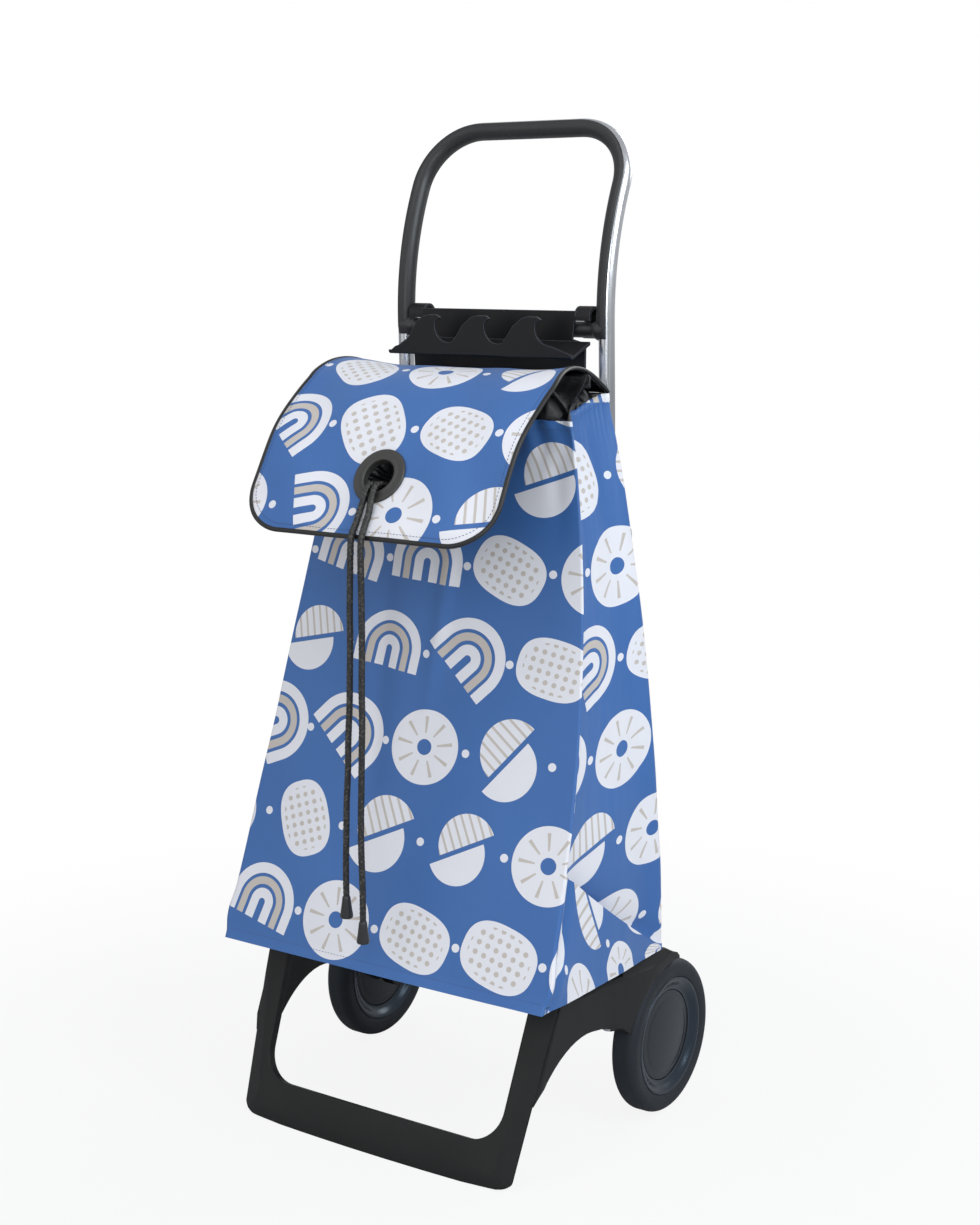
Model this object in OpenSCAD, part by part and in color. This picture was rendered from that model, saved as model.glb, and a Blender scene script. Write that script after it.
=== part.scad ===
/* [Overall] */
// Wheel diameter over the tyre
wheel_d = 160; // [140:1:180]
// Distance between the middles of the two wheels
track = 368; // [360:1:440]
// Reach of the foot in front of the axle
foot_reach = 266; // [240:1:320]
// Height of the bag's underside above the floor
bag_floor = 180; // [172:1:215]
// Distance between the centre lines of the two tube legs
leg_gap = 246; // [205:1:260]
// Length of the straight tube legs above the axle
leg_len = 730; // [610:1:880]
// Forward lean of the legs, in degrees
lean = 1.63; // [0:0.01:2.5]

/* [Tube and handle] */
// Outer diameter of the frame tube
tube_d = 16; // [14:0.5:19]
// Wall of the frame tube
tube_wall = 1.5; // [1:0.1:2.5]
// Radius of the backward bend above the legs
back_bend_r = 302; // [250:1:365]
// Angle of the backward bend, in degrees
back_bend_a = 25.6; // [20:0.1:31]
// Radius of the handle's two upper corners
corner_r = 63; // [52:1:76]
// Straight run between the backward bend and the corners
handle_run = 3.8; // [2:0.1:12]
// Length of tube below the axle's centre
tube_tail = 9; // [7.5:0.1:11]
// Thickness of the grip over the tube
grip_wall = 2.2; // [1.8:0.1:2.7]
// Height of the cross bar above the axle, along the legs
bar_height = 723; // [602:1:724]
// Diameter of the cross bar
bar_d = 16; // [13:0.5:19]
// Length of grip below the cross bar's centre
grip_tail = 8.5; // [8:0.1:11]

/* [Hook rack] */
// Distance from the centre of a leg to the end of the rack's lower panel
rack_gap = 19; // [17:0.5:22]
// Thickness of the rack's walls
rack_wall = 2.5; // [2:0.1:3]
// Height of the panel above the cross bar's centre
panel_up = 18.8; // [14:0.1:21]
// Height of the panel below the cross bar's centre
panel_down = 82; // [75:1:98]
// Distance from the panel to the hooks' front plate
gutter_d = 33; // [27:1:40]
// Width of the front plate that the hooks leave free at its two ends
hook_margin = 40.5; // [34:0.5:48]
// Height of a hook above the bottom of its notch
hook_h = 28; // [24:0.5:31]
// Width of a clip on the cross bar
clip_w = 18; // [15:1:19]

/* [Base moulding] */
// Width of the foot at the floor
foot_w = 340; // [325:1:400]
// Width of a leg of the foot, seen from the front
foot_bar_w = 24; // [20:1:28]
// Height of the foot's lower bar
foot_bar_h = 44; // [37:1:52]
// Depth of the foot's front wall, front to back
foot_depth = 9; // [7.5:0.5:10.5]
// Backward slope of the foot, in degrees
foot_slope = 21.8; // [18:0.1:25]
// Radius of the foot's forward bow, seen from above
bow_r = 2500; // [2080:5:3000]
// Wall of the moulding around its pockets
base_wall = 3.2; // [2.7:0.1:3.8]
// Thickness of the cheek that carries the axle
cheek_t = 15; // [12:0.5:15.5]
// Thickness of the wheel arch over the tyre
arch_t = 9; // [7.5:0.5:10]
// Gap between the tyre and the wheel arch
arch_gap = 3; // [2.5:0.1:3.6]
// Height of the rear bridge
bridge_h = 46; // [40:1:50]
// Depth of the rear bridge, front to back
bridge_d = 36; // [32:1:42]

/* [Wheels] */
// Width of the tyre
tyre_w = 28; // [24:0.5:31]
// Radius of the seam between tyre and hub
seam_r = 61.5; // [52:0.5:66]
// Radius of the recessed disc
disc_r = 47; // [40:0.5:52]
// Depth of the disc's edge below the seam
disc_depth = 6.5; // [5:0.1:7.5]
// Diameter of the axle
axle_d = 10; // [8.5:0.5:12]
// Running clearance of the bush on the axle
bush_gap = 0.05; // [0.03:0.01:0.08]
// Wall of the bush
bush_wall = 2; // [1.7:0.1:2.4]

/* [Bag] */
// Width of the bag at its base
bag_w = 394; // [330:1:394]
// Depth of the bag at its base
bag_d = 229; // [200:1:229]
// Width of the bag at its mouth
mouth_w = 276; // [250:1:290]
// Depth of the bag at its mouth
mouth_d = 84; // [80:1:100]
// Height of the bag's back panel
bag_h = 562; // [540:1:570]
// Drop of the mouth from back to front
mouth_drop = 22; // [18:1:26]
// Thickness of the bag's fabric and lining
bag_wall = 2; // [1.6:0.1:2.4]
// Thickness of the stiff base board
board_t = 3; // [2.5:0.1:3.6]
// Height of the loops that hold the bag to the legs
loop_h = 58; // [48:1:70]
// Height of the loops' lower edge above the floor
loop_z = 552; // [460:1:640]

/* [Flap] */
// Width of the flap between its piping
flap_w = 288; // [276:1:330]
// Thickness of the flap
flap_t = 2; // [1.7:0.1:2.4]
// Thickness of the flap's lining
lining_t = 0.8; // [0.7:0.05:1]
// Radius of the flap's lower corners
flap_corner = 45; // [38:1:54]
// Width of the piping around the flap
piping_w = 3.4; // [3:0.1:4]
// Outer diameter of the eyelet
eyelet_d = 57; // [48:1:60]
// Diameter of the eyelet's hole
eyelet_hole = 33; // [28:1:36]
// Diameter of the drawstring cord
cord_d = 6; // [5:0.1:6.6]
// Length of a cord tip
tip_len = 22; // [19:1:26]
// Diameter of a cord tip at its lower rim
tip_d = 13; // [11:0.5:14]

/* [Hidden] */
$fn = 96;

seat = 0.3;                       // gap between touching pieces
tight = 0.1;                      // gap of a round piece in its hole
wheel_r = wheel_d / 2;
axle_r = axle_d / 2;
tube_r = tube_d / 2;
leg_x = leg_gap / 2;
wheel_x = track / 2;
bar_r = bar_d / 2;
cord_r = cord_d / 2;
far = 2000;                       // longer than anything on the trolley

arch_r = wheel_r + arch_gap;
fender_r = arch_r + arch_t;
arm_top = bag_floor - seat;
arm_low = arm_top - 52;
cheek_out = wheel_x - tyre_w / 2 - 3;
cheek_in = cheek_out - cheek_t;
arm_out = wheel_x + tyre_w / 2 + 2;
leg_mid_x = foot_w / 2 + 4;            // half width of the foot at knee height and above
leg_top_x = leg_mid_x + 5;
knee = bag_floor / 3;
arm_in = leg_top_x - foot_bar_w - 4;   // inner face of the arms
foot_corner = 22;
foot_lift = 4.5;                       // rise of the foot's lower edge at its corners
window_corner = 34;
band_h = 17;                           // height of the foot's turned-back lower edge
band_turn = 0.28;                      // how far back that edge goes for each mm down
face_corner = 17;                      // radius of the front face's lower corners
face_w = foot_w / 2 - 19;              // half width of the foot's front face at its lower bar

bore_r = axle_r + bush_gap;
bush_r = bore_r + bush_wall;
hub_w = tyre_w - 2;
disc_edge = hub_w / 2 - disc_depth;    // distance of a disc's outer rim from the wheel's middle
disc_t = 2;
disc_dome = 3.2;
nut_r = axle_r + 4.5;
nut_t = 2.2;
boss_r = bush_r + 4;
boss_half = disc_edge - disc_t + disc_dome - nut_t - 1.2;

rack_w = leg_gap - 2 * rack_gap;
plate_w = rack_w + 14;
hook_pitch = (plate_w - hook_margin) / 3;
panel_front = -(max(bar_r, tube_r) + 3.2);          // front face of the rack's panel, from the legs' centre plane
bag_back = panel_front - seat;         // back face of the bag, from the legs' centre plane
loop_reach = 34;                       // from a leg's centre out to the loop's seam on the bag
rack_shoulder = rack_w / 2 - 10;        // half width of the panel in front of the cross bar
clip_rise = 12;
rivet_r = 2.2;
rivet_pitch = rack_w / 4;
rivet_w = bar_height - panel_down + 12;    // height of the rivets above the axle, along the legs
rivet_len = rack_wall + bag_wall + 3 * seat;
bag_back_y0 = bag_back - (bag_floor - wheel_r) * tan(lean);
mouth_back_z = bag_floor + bag_h;
mouth_front_z = mouth_back_z - mouth_drop;
mouth_back_y = bag_back - (mouth_back_z - wheel_r) * tan(lean);
mouth_front_y = mouth_back_y - mouth_d;
base_front_y = bag_back_y0 - bag_d;

// Places along the flap: runs of [length, turn in degrees, steps], from its sewn rear edge down to its free edge
flap_rise = 42.8;
flap_start = [mouth_back_y - bag_wall / 2, mouth_back_z + seat + flap_t / 2];
root_runs = [[65, flap_rise - 4, 8]];
panel_runs = [[64, 34, 8], [89.5, 27, 8]];
flat_run = 77;
lip_run = [16, 18, 3];
hinge_r = flap_t / 2 + 1.2;
hinge = walk_end(flap_start, flap_rise, root_runs);
flat_start = walk_end(hinge[0], hinge[1], panel_runs);
flap_slope = -flat_start[1];            // how far the flat run leans down from level
eyelet_at = flat_start[0] + 28.5 * heading(flat_start[1]);
eyelet_x = 3;                           // the eyelet sits a little off the middle
flap_end = walk_end(flat_start[0] + flat_run * heading(flat_start[1]), flat_start[1], [lip_run]);
front_y = min(flap_end[0][0] - piping_w / 2 * cos(90 + flap_end[1]), -foot_reach + 2);
axle_y = -(front_y + wheel_r) / 2;     // the box without the cords is centred on Y = 0

// Routes of the two cord ends, in front of the axle and above the floor
cord_left_route = [
  [-1, -226, 661], [-1, -234, 663], [-1, -243, 662.6], [-1, -249, 657], [-1, -252.5, 650], [-2, -257, 639.5],
  [-2, -262.4, 629.5], [-3, -268, 619], [-3, -270.4, 606], [-4, -270.2, 580], [-5, -270, 549],
  [-5, -270, 517], [-6, -269.8, 486], [-7, -269.7, 454], [-9, -269.6, 423], [-10, -269.5, 391],
  [-12, -269.5, 360], [-13, -269.5, 328], [-14, -269.5, 297], [-14, -269.5, 265]
];
cord_right_route = [
  [7, -226, 661], [7, -234, 663], [7, -243, 662.6], [8, -249, 657], [8, -252.5, 650], [9, -257, 639.5],
  [9, -262.4, 629.5], [9, -268, 619], [9, -270.4, 606], [9, -270.2, 577], [9, -270, 543],
  [9, -270, 510], [8, -269.8, 476], [8, -269.7, 443], [7, -269.6, 410], [6, -269.5, 376],
  [5, -269.5, 343], [5, -269.5, 310], [6, -269.5, 276], [6, -269.5, 243]
];

function heading(a) = [-cos(a), sin(a)];
function upward(a) = [sin(a), cos(a)];
// Points of a path that starts at p with heading a and follows the runs; each entry is [point, heading]
function walk(p, a, runs, i = 0) =
  i == len(runs) ? [[p, a]] :
  let (run = runs[i], n = run[2])
  concat(
    [for (j = [0:n - 1]) [step_from(p, a, run, j / n), a - run[1] * j / n]],
    walk(step_from(p, a, run, 1), a - run[1], runs, i + 1)
  );
function step_from(p, a, run, f) =
  run[1] == 0 ? p + run[0] * f * heading(a) :
  let (r = run[0] / (run[1] * PI / 180), b = a - run[1] * f)
  p + r * [sin(b) - sin(a), cos(b) - cos(a)];
function walk_end(p, a, runs) = let (w = walk(p, a, runs)) w[len(w) - 1];
// Outline of a sheet that lies between the offsets lo and hi above a path
function sheet(path, lo, hi) = concat(
  [for (q = path) q[0] + hi * upward(q[1])],
  [for (i = [len(path) - 1:-1:0]) path[i][0] + lo * upward(path[i][1])]
);
function arc(c, r, a0, a1, n) = [for (i = [0:n]) let (a = a0 + (a1 - a0) * i / n) c + r * [cos(a), sin(a)]];

module at_axle() translate([0, axle_y, 0]) children();
module upright() translate([0, axle_y, wheel_r]) rotate([lean, 0, 0]) children();
module both_sides() {
  children();
  mirror([1, 0, 0]) children();
}
// A profile in Y and Z, drawn as x and y, made solid from X = x0 to x1
module across(x0, x1) translate([x0, 0, 0]) rotate([90, 0, 90]) linear_extrude(x1 - x0) children();
// A rod along X from x0 to x1
module rod(r, x0, x1) translate([x0, 0, 0]) rotate([0, 90, 0]) cylinder(r = r, h = x1 - x0);
// A turned piece whose axis is X; its profile gives radius and distance along +X
module turned() rotate([0, 90, 0]) rotate_extrude() children();

// ---- base moulding ----
module foot_frame() translate([0, -foot_reach, 0]) rotate([-foot_slope, 0, 0]) children();
module foot_outline(inset) {
  w0 = foot_w / 2 - inset;
  w1 = leg_mid_x - inset;
  w2 = leg_top_x - inset;
  r = foot_corner;
  polygon(concat(
    [for (i = [-4:3]) [i / 4 * (w0 - r), foot_lift * pow(i / 4, 2) + inset]],
    arc([w0 - r, r + foot_lift + inset], r, -90, 0, 10),
    [[w1, knee], [w2, bag_floor * 1.2], [-w2, bag_floor * 1.2], [-w1, knee]],
    arc([-w0 + r, r + foot_lift + inset], r, 180, 260, 9)
  ));
}
module foot_window(inset) {
  w0 = foot_w / 2 - foot_bar_w + inset;
  w1 = leg_top_x - foot_bar_w - 4 + inset;
  r = window_corner;
  z0 = foot_bar_h - inset;
  polygon(concat(
    arc([w0 - r, z0 + r], r, -90, 0, 12),
    [[w1, bag_floor * 1.2], [-w1, bag_floor * 1.2]],
    arc([-w0 + r, z0 + r], r, 180, 270, 12)
  ));
}
// The bowed sheet that the foot is cut from; its lower front edge turns back
module foot_band(front, back) translate([0, bow_r, 0]) difference() {
  r = bow_r - front;
  union() {
    translate([0, 0, band_h]) cylinder(r = r, h = bag_floor * 1.4, $fn = 720);
    translate([0, 0, band_h - 60]) cylinder(r1 = r - 60 * band_turn, r2 = r, h = 60, $fn = 720);
  }
  translate([0, 0, -100]) cylinder(r = bow_r - back, h = bag_floor * 2, $fn = 720);
}
// What is cut off a leg's outer front and rear corners
module leg_bevels(inset) {
  x0 = face_w - inset;
  translate([x0, x0 * x0 / 2 / bow_r + inset, foot_bar_h]) rotate([0, 8, 0]) rotate([0, 0, 20])
    translate([0, -40, -80]) cube([80, 40, 400]);
  translate([foot_w / 2 - 1 - inset, 8 - inset, 0]) rotate([0, 3.2, 0]) rotate([0, 0, 38])
    translate([0, -2, -60]) cube([60, 90, 400]);
  c = face_w - 6 - face_corner;
  translate([c, c * c / 2 / bow_r + inset, band_h + face_corner]) difference() {
    rotate([90, 0, 0]) translate([0, -100, -60]) cube([100, 100, 120]);
    rotate([-90, 0, 0]) translate([0, 0, -4])
      cylinder(r1 = face_corner - 4 / band_turn, r2 = face_corner + 30 / band_turn, h = 34);
  }
}
module foot_hoop(inset, front, back)
  foot_frame() difference() {
    intersection() {
      rotate([90, 0, 0]) translate([0, 0, -far / 2]) linear_extrude(far)
        difference() {
          foot_outline(inset);
          foot_window(inset);
        }
      foot_band(front, back);
      translate([-far / 2, -20, -50]) cube([far, 160, bag_floor * 1.3]);
    }
    both_sides() leg_bevels(inset);
  }
// Plan of the right arm: it flares from the leg out over the wheel
module arm_plan(inset) polygon([
  [arm_in + inset, -foot_reach], [leg_top_x - 2 - inset, -foot_reach], [leg_top_x - 2 - inset, -foot_reach + 60],
  [arm_out - 13 - inset, -arch_r - 34], [arm_out - 2 - inset, -58], [arm_out - inset, -30],
  [arm_out - inset, 60], [arm_in + inset, 60]
]);
// Side view of an arm: knee of the leg, hollow of the underside, wheel arch and its lip
module arm_side() {
  top = wheel_r + fender_r;
  low = arm_low;
  polygon([
    [-foot_reach + 13 + arm_top * tan(foot_slope), arm_top], [-14, arm_top], [-2, top], [5, top - 2],
    [10, top - 7], [10, wheel_r], [-arch_r + 6, wheel_r + 26], [-arch_r - 6, low - 12],
    [-arch_r - 22, low - 6.5], [-arch_r - 38, low - 2.5], [-arch_r - 54, low - 0.3], [-arch_r - 62, low],
    [-arch_r - 71, low - 1], [-arch_r - 79, low - 2.9], [-arch_r - 87, low - 5.7], [-arch_r - 95, low - 9.5],
    [-arch_r - 103, low - 14.2], [-arch_r - 111, low - 20], [-arch_r - 119, low - 27], [-arch_r - 127, low - 34.8],
    [-arch_r - 135, low - 43], [-foot_reach + 11 + (low - 50) * tan(foot_slope), low - 50]
  ]);
}
module arm_pocket() {
  intersection() {
    translate([0, 0, -1]) linear_extrude(arm_top - base_wall + 1) arm_plan(base_wall);
    across(0, far) polygon([
      [-arch_r - 108, arm_top - base_wall], [-arch_r - base_wall, arm_top - base_wall],
      [-arch_r - base_wall, 0], [-arch_r - 84, 0]
    ]);
  }
}
module arm_bevel() translate([leg_mid_x, -foot_reach + 60, arm_top - 12]) rotate([0, 0, -8.5])
  rotate([0, -30, 0]) translate([0, -20, 0]) cube([40, 260, 40]);
// Below the arm its outer face runs in to the leg
module arm_taper() translate([leg_mid_x - 4, -foot_reach, knee + 6]) rotate([0, 15, 0])
  translate([0, -20, -40]) cube([40, 160, 80]);
module cheek() {
  translate([0, 0, wheel_r]) rod(19, cheek_in, cheek_out);
  across(cheek_in, cheek_out) polygon([
    [-19, wheel_r], [-44, arm_low - 4], [-44, arm_top], [bridge_d / 2, arm_top],
    [bridge_d / 2, arm_low], [19, wheel_r]
  ]);
}
module bridge() {
  w = cheek_in + 1;
  difference() {
    translate([-w, -bridge_d / 2, arm_top - bridge_h]) cube([2 * w, bridge_d, bridge_h]);
    for (x0 = [-w + 6, -leg_x + tube_r + base_wall, leg_x + tube_r + base_wall])
      translate([x0, -bridge_d / 2 + base_wall, arm_top - bridge_h - 1])
        cube([x0 == -leg_x + tube_r + base_wall ? 2 * (leg_x - tube_r - base_wall) : w - 6 - leg_x - tube_r - base_wall,
              bridge_d - 2 * base_wall, bridge_h - base_wall + 1]);
  }
}
module base_moulding() color("#2a2b2d") at_axle() difference() {
  union() {
    intersection() {
      foot_hoop(0, 0, foot_depth);
      translate([-far / 2, -far / 2, 0]) cube([far, far, arm_top]);
    }
    both_sides() difference() {
      intersection() {
        across(0, far) arm_side();
        linear_extrude(far) arm_plan(0);
      }
      arm_bevel();
      arm_taper();
    }
    both_sides() cheek();
    bridge();
  }
  foot_hoop(base_wall, base_wall, foot_depth + 1);
  both_sides() {
    arm_pocket();
    translate([0, 0, wheel_r]) rod(arch_r, cheek_out, far);
    translate([leg_x, 0, 0]) leg_bore();
  }
  translate([0, 0, wheel_r]) rod(axle_r + tight, -far / 2, far / 2);
}
module leg_bore() translate([0, 0, wheel_r]) rotate([lean, 0, 0]) cylinder(r = tube_r + tight, h = far, center = true);

// ---- tube, grip and rack, in the legs' own frame: Z runs up the legs from the axle ----
module handle_plane()
  translate([0, back_bend_r * (1 - cos(back_bend_a)), leg_len + back_bend_r * sin(back_bend_a)])
    rotate([-back_bend_a, 0, 0]) children();
// Sweeps a section along the hoop from height z0; the section's x points outwards and its y backwards
module hoop(z0) {
  both_sides() {
    translate([leg_x, 0, z0]) linear_extrude(leg_len - z0) children();
    translate([0, back_bend_r, leg_len]) rotate([90, 0, -90])
      rotate_extrude(angle = back_bend_a, $fn = 240)
        translate([back_bend_r, -leg_x]) mirror([1, 1]) children();
    handle_plane() translate([leg_x, 0, 0]) linear_extrude(handle_run) children();
    handle_plane() translate([leg_x - corner_r, 0, handle_run]) rotate([90, 0, 0])
      rotate_extrude(angle = 90) translate([corner_r, 0]) mirror([0, 1]) children();
  }
  handle_plane() translate([leg_x - corner_r, 0, handle_run + corner_r]) rotate([0, -90, 0])
    linear_extrude(2 * (leg_x - corner_r)) children();
}
module tube_section() difference() {
  circle(tube_r);
  circle(tube_r - tube_wall);
}
module grip_section() {
  front_edge = 25;
  inner_edge = 150;
  s = 3 * tube_d;
  difference() {
    circle(tube_r + grip_wall);
    circle(tube_r + tight);
    polygon([
      [0, 0], s * [sin(front_edge), -cos(front_edge)], s * [1, -1], s * [1, 1],
      s * [-0.5, 1], s * [-sin(inner_edge), -cos(inner_edge)]
    ]);
  }
}
module frame_tube() color("#b9bcc0") difference() {
  upright() hoop(-tube_tail) tube_section();
  at_axle() translate([0, 0, wheel_r]) rod(axle_r + tight, -far / 2, far / 2);
}
module handle_grip() color("#26272a") upright() {
  hoop(bar_height - grip_tail) grip_section();
  difference() {
    translate([0, 0, bar_height]) rod(bar_r, -leg_x, leg_x);
    both_sides() translate([leg_x, 0, 0]) cylinder(r = tube_r + grip_wall / 2, h = far);
  }
}
module rack_panel() {
  w = rack_w / 2 + 1;
  translate([0, panel_front + rack_wall, bar_height]) rotate([90, 0, 0]) linear_extrude(rack_wall)
    polygon([
      [-rack_shoulder, panel_up], [rack_shoulder, panel_up], [rack_shoulder - 4, -9], [w, -13],
      [w - 2, -panel_down], [-w + 2, -panel_down], [-w, -13], [-rack_shoulder + 4, -9]
    ]);
}
// Side view of a clip: an arch that stands above the cross bar and comes down behind it
module clip_arch(r) {
  circle(r);
  translate([-r, 0]) square([2 * r, clip_rise]);
  translate([0, clip_rise]) circle(r);
}
module rack_clip() translate([rack_shoulder - 2, 0, bar_height]) rotate([90, 0, 90]) linear_extrude(clip_w)
  difference() {
    clip_arch(bar_r + 3.2);
    clip_arch(bar_r + tight);
    translate([-40, -40]) square([40, 40 + bar_r + 1]);
    polygon([[0, 0], 40 * [cos(-55), sin(-55)], [0, -60], [-10, -60]]);
  }
// The space between two hooks, from the tip of the left one; its bottom is hook_h below their tops
module hook_notch() {
  k = hook_h / 28;
  polygon(k * concat(
    [[-4.5, 20], [-4.5, 2.5], [0, 0]],
    arc([9.2, -8.9], 16, 162, 290, 14),
    [[20.9, -16.4], [27.4, -7.2]],
    arc([46, -14.5], 17, 138, 90, 5),
    [[46, 20]]
  ));
}
module hook_gutter() {
  w = plate_w / 2;
  low = bar_height - 26;
  front = panel_front - gutter_d;
  tip = [-hook_pitch * 0.75, low + 10 + hook_h];   // tip of the leftmost hook
  across(-w, w) polygon([
    [panel_front + 0.01, low + 15], [panel_front + 0.01, low + 15 - rack_wall * 1.3],
    [front, low], [front - rack_wall, low + 1.5], [front - rack_wall, low + 4],
    [front, low + 4], [front, low + rack_wall * 1.3 - 1]
  ]);
  translate([0, front, 0]) rotate([90, 0, 0]) linear_extrude(rack_wall)
    difference() {
      polygon(concat(
        [[-w, low + 1.5], [w, low + 1.5], [w, low + 4], [w - 11, low + 8]],
        [for (p = [[12, -26], [5.5, -24.6]]) tip + [2 * hook_pitch, 0] + p * hook_h / 28],
        [tip + [2 * hook_pitch, -hook_h * 0.7], tip + [2 * hook_pitch, 2.5]],
        [for (p = [[-14, 2.5], [-20.5, 1.3], [-27, -2.8], [-32.3, -8.6], [-38.5, -19], [-44.5, -24.6]])
          tip + p * hook_h / 28],
        [[-w + 15, low + 10], [-w + 8, low + 7.6]]
      ));
      for (i = [0, 1, 2]) translate(tip + [i * hook_pitch, 0]) hook_notch();
    }
}
module hook_rack() color("#232427") difference() {
  upright() {
    rack_panel();
    both_sides() rack_clip();
    hook_gutter();
  }
  rivet_holes();
}

// ---- axle and wheels ----
module axle() color("#c9ccd0") translate([0, axle_y, wheel_r])
  rod(axle_r, -wheel_x - boss_half - nut_t - 1, wheel_x + boss_half + nut_t + 1);
module axle_nuts() color("#9da1a6") translate([0, axle_y, wheel_r]) both_sides() difference() {
  rod(nut_r, wheel_x + boss_half + seat, wheel_x + boss_half + seat + nut_t);
  rod(axle_r + tight / 2, 0, far);
}
module axle_spacers() color("#d8d9da") translate([0, axle_y, wheel_r]) both_sides() difference() {
  rod(nut_r - 1, cheek_out + seat, wheel_x - boss_half - seat);
  rod(axle_r + tight / 2, 0, far);
}
module at_wheel(side) translate([side * wheel_x, axle_y, wheel_r])
  mirror([side < 0 ? 1 : 0, 0, 0]) children();
module tyre() {
  h = tyre_w / 2;
  r = 9;
  run = wheel_r - r - seam_r - tight;          // from the seam out to the widest place of the tyre's side
  drop = 1.4;
  side_r = (run * run + drop * drop) / 2 / drop;
  a = asin(run / side_r);
  turned() polygon(concat(
    arc([wheel_r - r, -h + side_r], side_r, -90 - a, -90, 6),
    arc([wheel_r - r, -h + r], r, -81, 0, 9),
    arc([wheel_r - r, h - r], r, 0, 81, 9),
    arc([wheel_r - r, h - side_r], side_r, 90, 90 + a, 6)
  ));
}
// Radius and depth of the hub's dished face, from the seam in to the disc's seat
function cove(side) = concat(
  [[seam_r, side * (hub_w / 2 - 0.4)], [seam_r - 1, side * hub_w / 2]],
  [for (i = [1:12])
    [seam_r - 1 - (seam_r - disc_r - 2) * i / 12, side * (disc_edge + disc_depth * (1 + cos(15 * i)) / 2)]],
  [[disc_r + 0.4, side * disc_edge], [disc_r + 0.4, side * (disc_edge - disc_t - 0.6)]]
);
module hub() turned() polygon(concat(
  cove(1),
  [[boss_r + 6, disc_edge - disc_t - 1.6], [boss_r, boss_half], [bush_r + tight / 2, boss_half]],
  [[bush_r + tight / 2, -boss_half], [boss_r, -boss_half], [boss_r + 6, -(disc_edge - disc_t - 1.6)]],
  [for (i = [len(cove(-1)) - 1:-1:0]) cove(-1)[i]]
));
module bush() turned() polygon([
  [bore_r, -boss_half], [bush_r, -boss_half], [bush_r, boss_half], [bore_r, boss_half]
]);
// A domed disc; the inner one has a hole for the axle's washer
module disc(hole_r) turned() polygon(concat(
  [[hole_r, disc_edge - disc_t + disc_dome]],
  [for (i = [0:6]) let (r = hole_r + (disc_r - hole_r) * i / 6)
    [r, disc_edge - disc_t + disc_dome * (1 - pow(r / disc_r, 2))]],
  [for (i = [6:-1:0]) let (r = hole_r + (disc_r - hole_r) * i / 6)
    [r, disc_edge + disc_dome * (1 - pow(r / disc_r, 2))]]
));
module outer_disc() disc(0);
module inner_disc() mirror([1, 0, 0]) disc(nut_r + 0.5);

// ---- bag ----
function bag_front_y(z) = let (t = max(0, (mouth_front_z - z) / (mouth_front_z - bag_floor)))
  mouth_front_y - (mouth_front_y - base_front_y) * pow(t, 1.55);
function bag_half_w(z) = let (t = (z - bag_floor) / bag_h)
  bag_w / 2 - (bag_w - mouth_w) / 2 * pow(max(t, 0), 1.9);
function bag_back_y(z) = bag_back - (z - wheel_r) * tan(lean);
// The bag's outer shape, drawn in by e, from z0 up past the mouth
module bag_form(e, z0) {
  n = 10;
  levels = [for (i = [0:n]) z0 + (mouth_back_z + 8 - z0) * i / n];
  intersection() {
    across(-far / 2, far / 2) polygon(concat(
      [for (z = levels) [bag_front_y(z) + e, z]],
      [[bag_back_y(mouth_back_z + 8) - e, mouth_back_z + 8], [bag_back_y(z0) - e, z0]]
    ));
    rotate([90, 0, 0]) translate([0, 0, -far / 2]) linear_extrude(far) polygon(concat(
      [for (z = levels) [bag_half_w(z) - e, z]],
      [for (i = [n:-1:0]) [-bag_half_w(levels[i]) + e, levels[i]]]
    ));
  }
}
module below_mouth() across(-far / 2, far / 2) polygon([
  [mouth_front_y - 200, 0], [mouth_back_y + 20, 0],
  [mouth_back_y + 20, mouth_back_z], [mouth_back_y - bag_wall - 1, mouth_back_z],
  [mouth_front_y, mouth_front_z], [mouth_front_y - 200, mouth_front_z]
]);
module bag_body() color("#3a63a8") at_axle() intersection() {
  difference() {
    bag_form(0, bag_floor);
    bag_form(bag_wall, bag_floor + bag_wall);
    translate([0, -axle_y, 0]) rivet_holes();
  }
  below_mouth();
}
module bag_base_board() color("#1d1e20") at_axle() intersection() {
  bag_form(bag_wall + seat * 3, bag_floor + bag_wall + seat);
  translate([-far / 2, -far / 2, 0]) cube([far, far, bag_floor + bag_wall + seat + board_t]);
}
module bag_collar() color("#17181a") at_axle() {
  z0 = mouth_front_z - 16;
  e = bag_wall + 2;
  difference() {
    bag_form(e, z0);
    bag_form(e + 1.5, z0 - 1);
    translate([-far / 2, -far / 2, mouth_back_z - 6]) cube([far, far, far]);
  }
}
// Frames at the rivets: Z runs forwards from the back of the rack's panel, through it and the bag
module at_rivets() at_axle() for (x = [-1.5, -0.5, 0.5, 1.5])
  translate([x * rivet_pitch, 0, wheel_r]) rotate([lean, 0, 0])
    translate([0, panel_front + rack_wall, rivet_w]) rotate([90, 0, 0]) children();
module rivet_holes() at_rivets() translate([0, 0, -1]) cylinder(r = rivet_r + tight, h = rack_wall + bag_wall + seat + 3, $fn = 48);
module bag_rivets() color("#15161a") at_rivets() {
  translate([0, 0, -seat]) cylinder(r = rivet_r, h = rivet_len, $fn = 48);
  translate([0, 0, -seat - 1.4]) cylinder(r = rivet_r + 2, h = 1.4, $fn = 48);
  translate([0, 0, rivet_len - seat]) cylinder(r = rivet_r + 2, h = 1.2, $fn = 48);
}
module tube_loop(side) color("#1b1c20") at_axle() intersection() {
  translate([0, 0, wheel_r]) rotate([lean, 0, 0]) mirror([side < 0 ? 1 : 0, 0, 0])
    translate([leg_x, 0, 0]) linear_extrude(far) difference() {
      loop_outline(0);
      loop_outline(1.6);
    }
  translate([-far / 2, -far / 2, loop_z]) cube([far, far, loop_h]);
}
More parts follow.
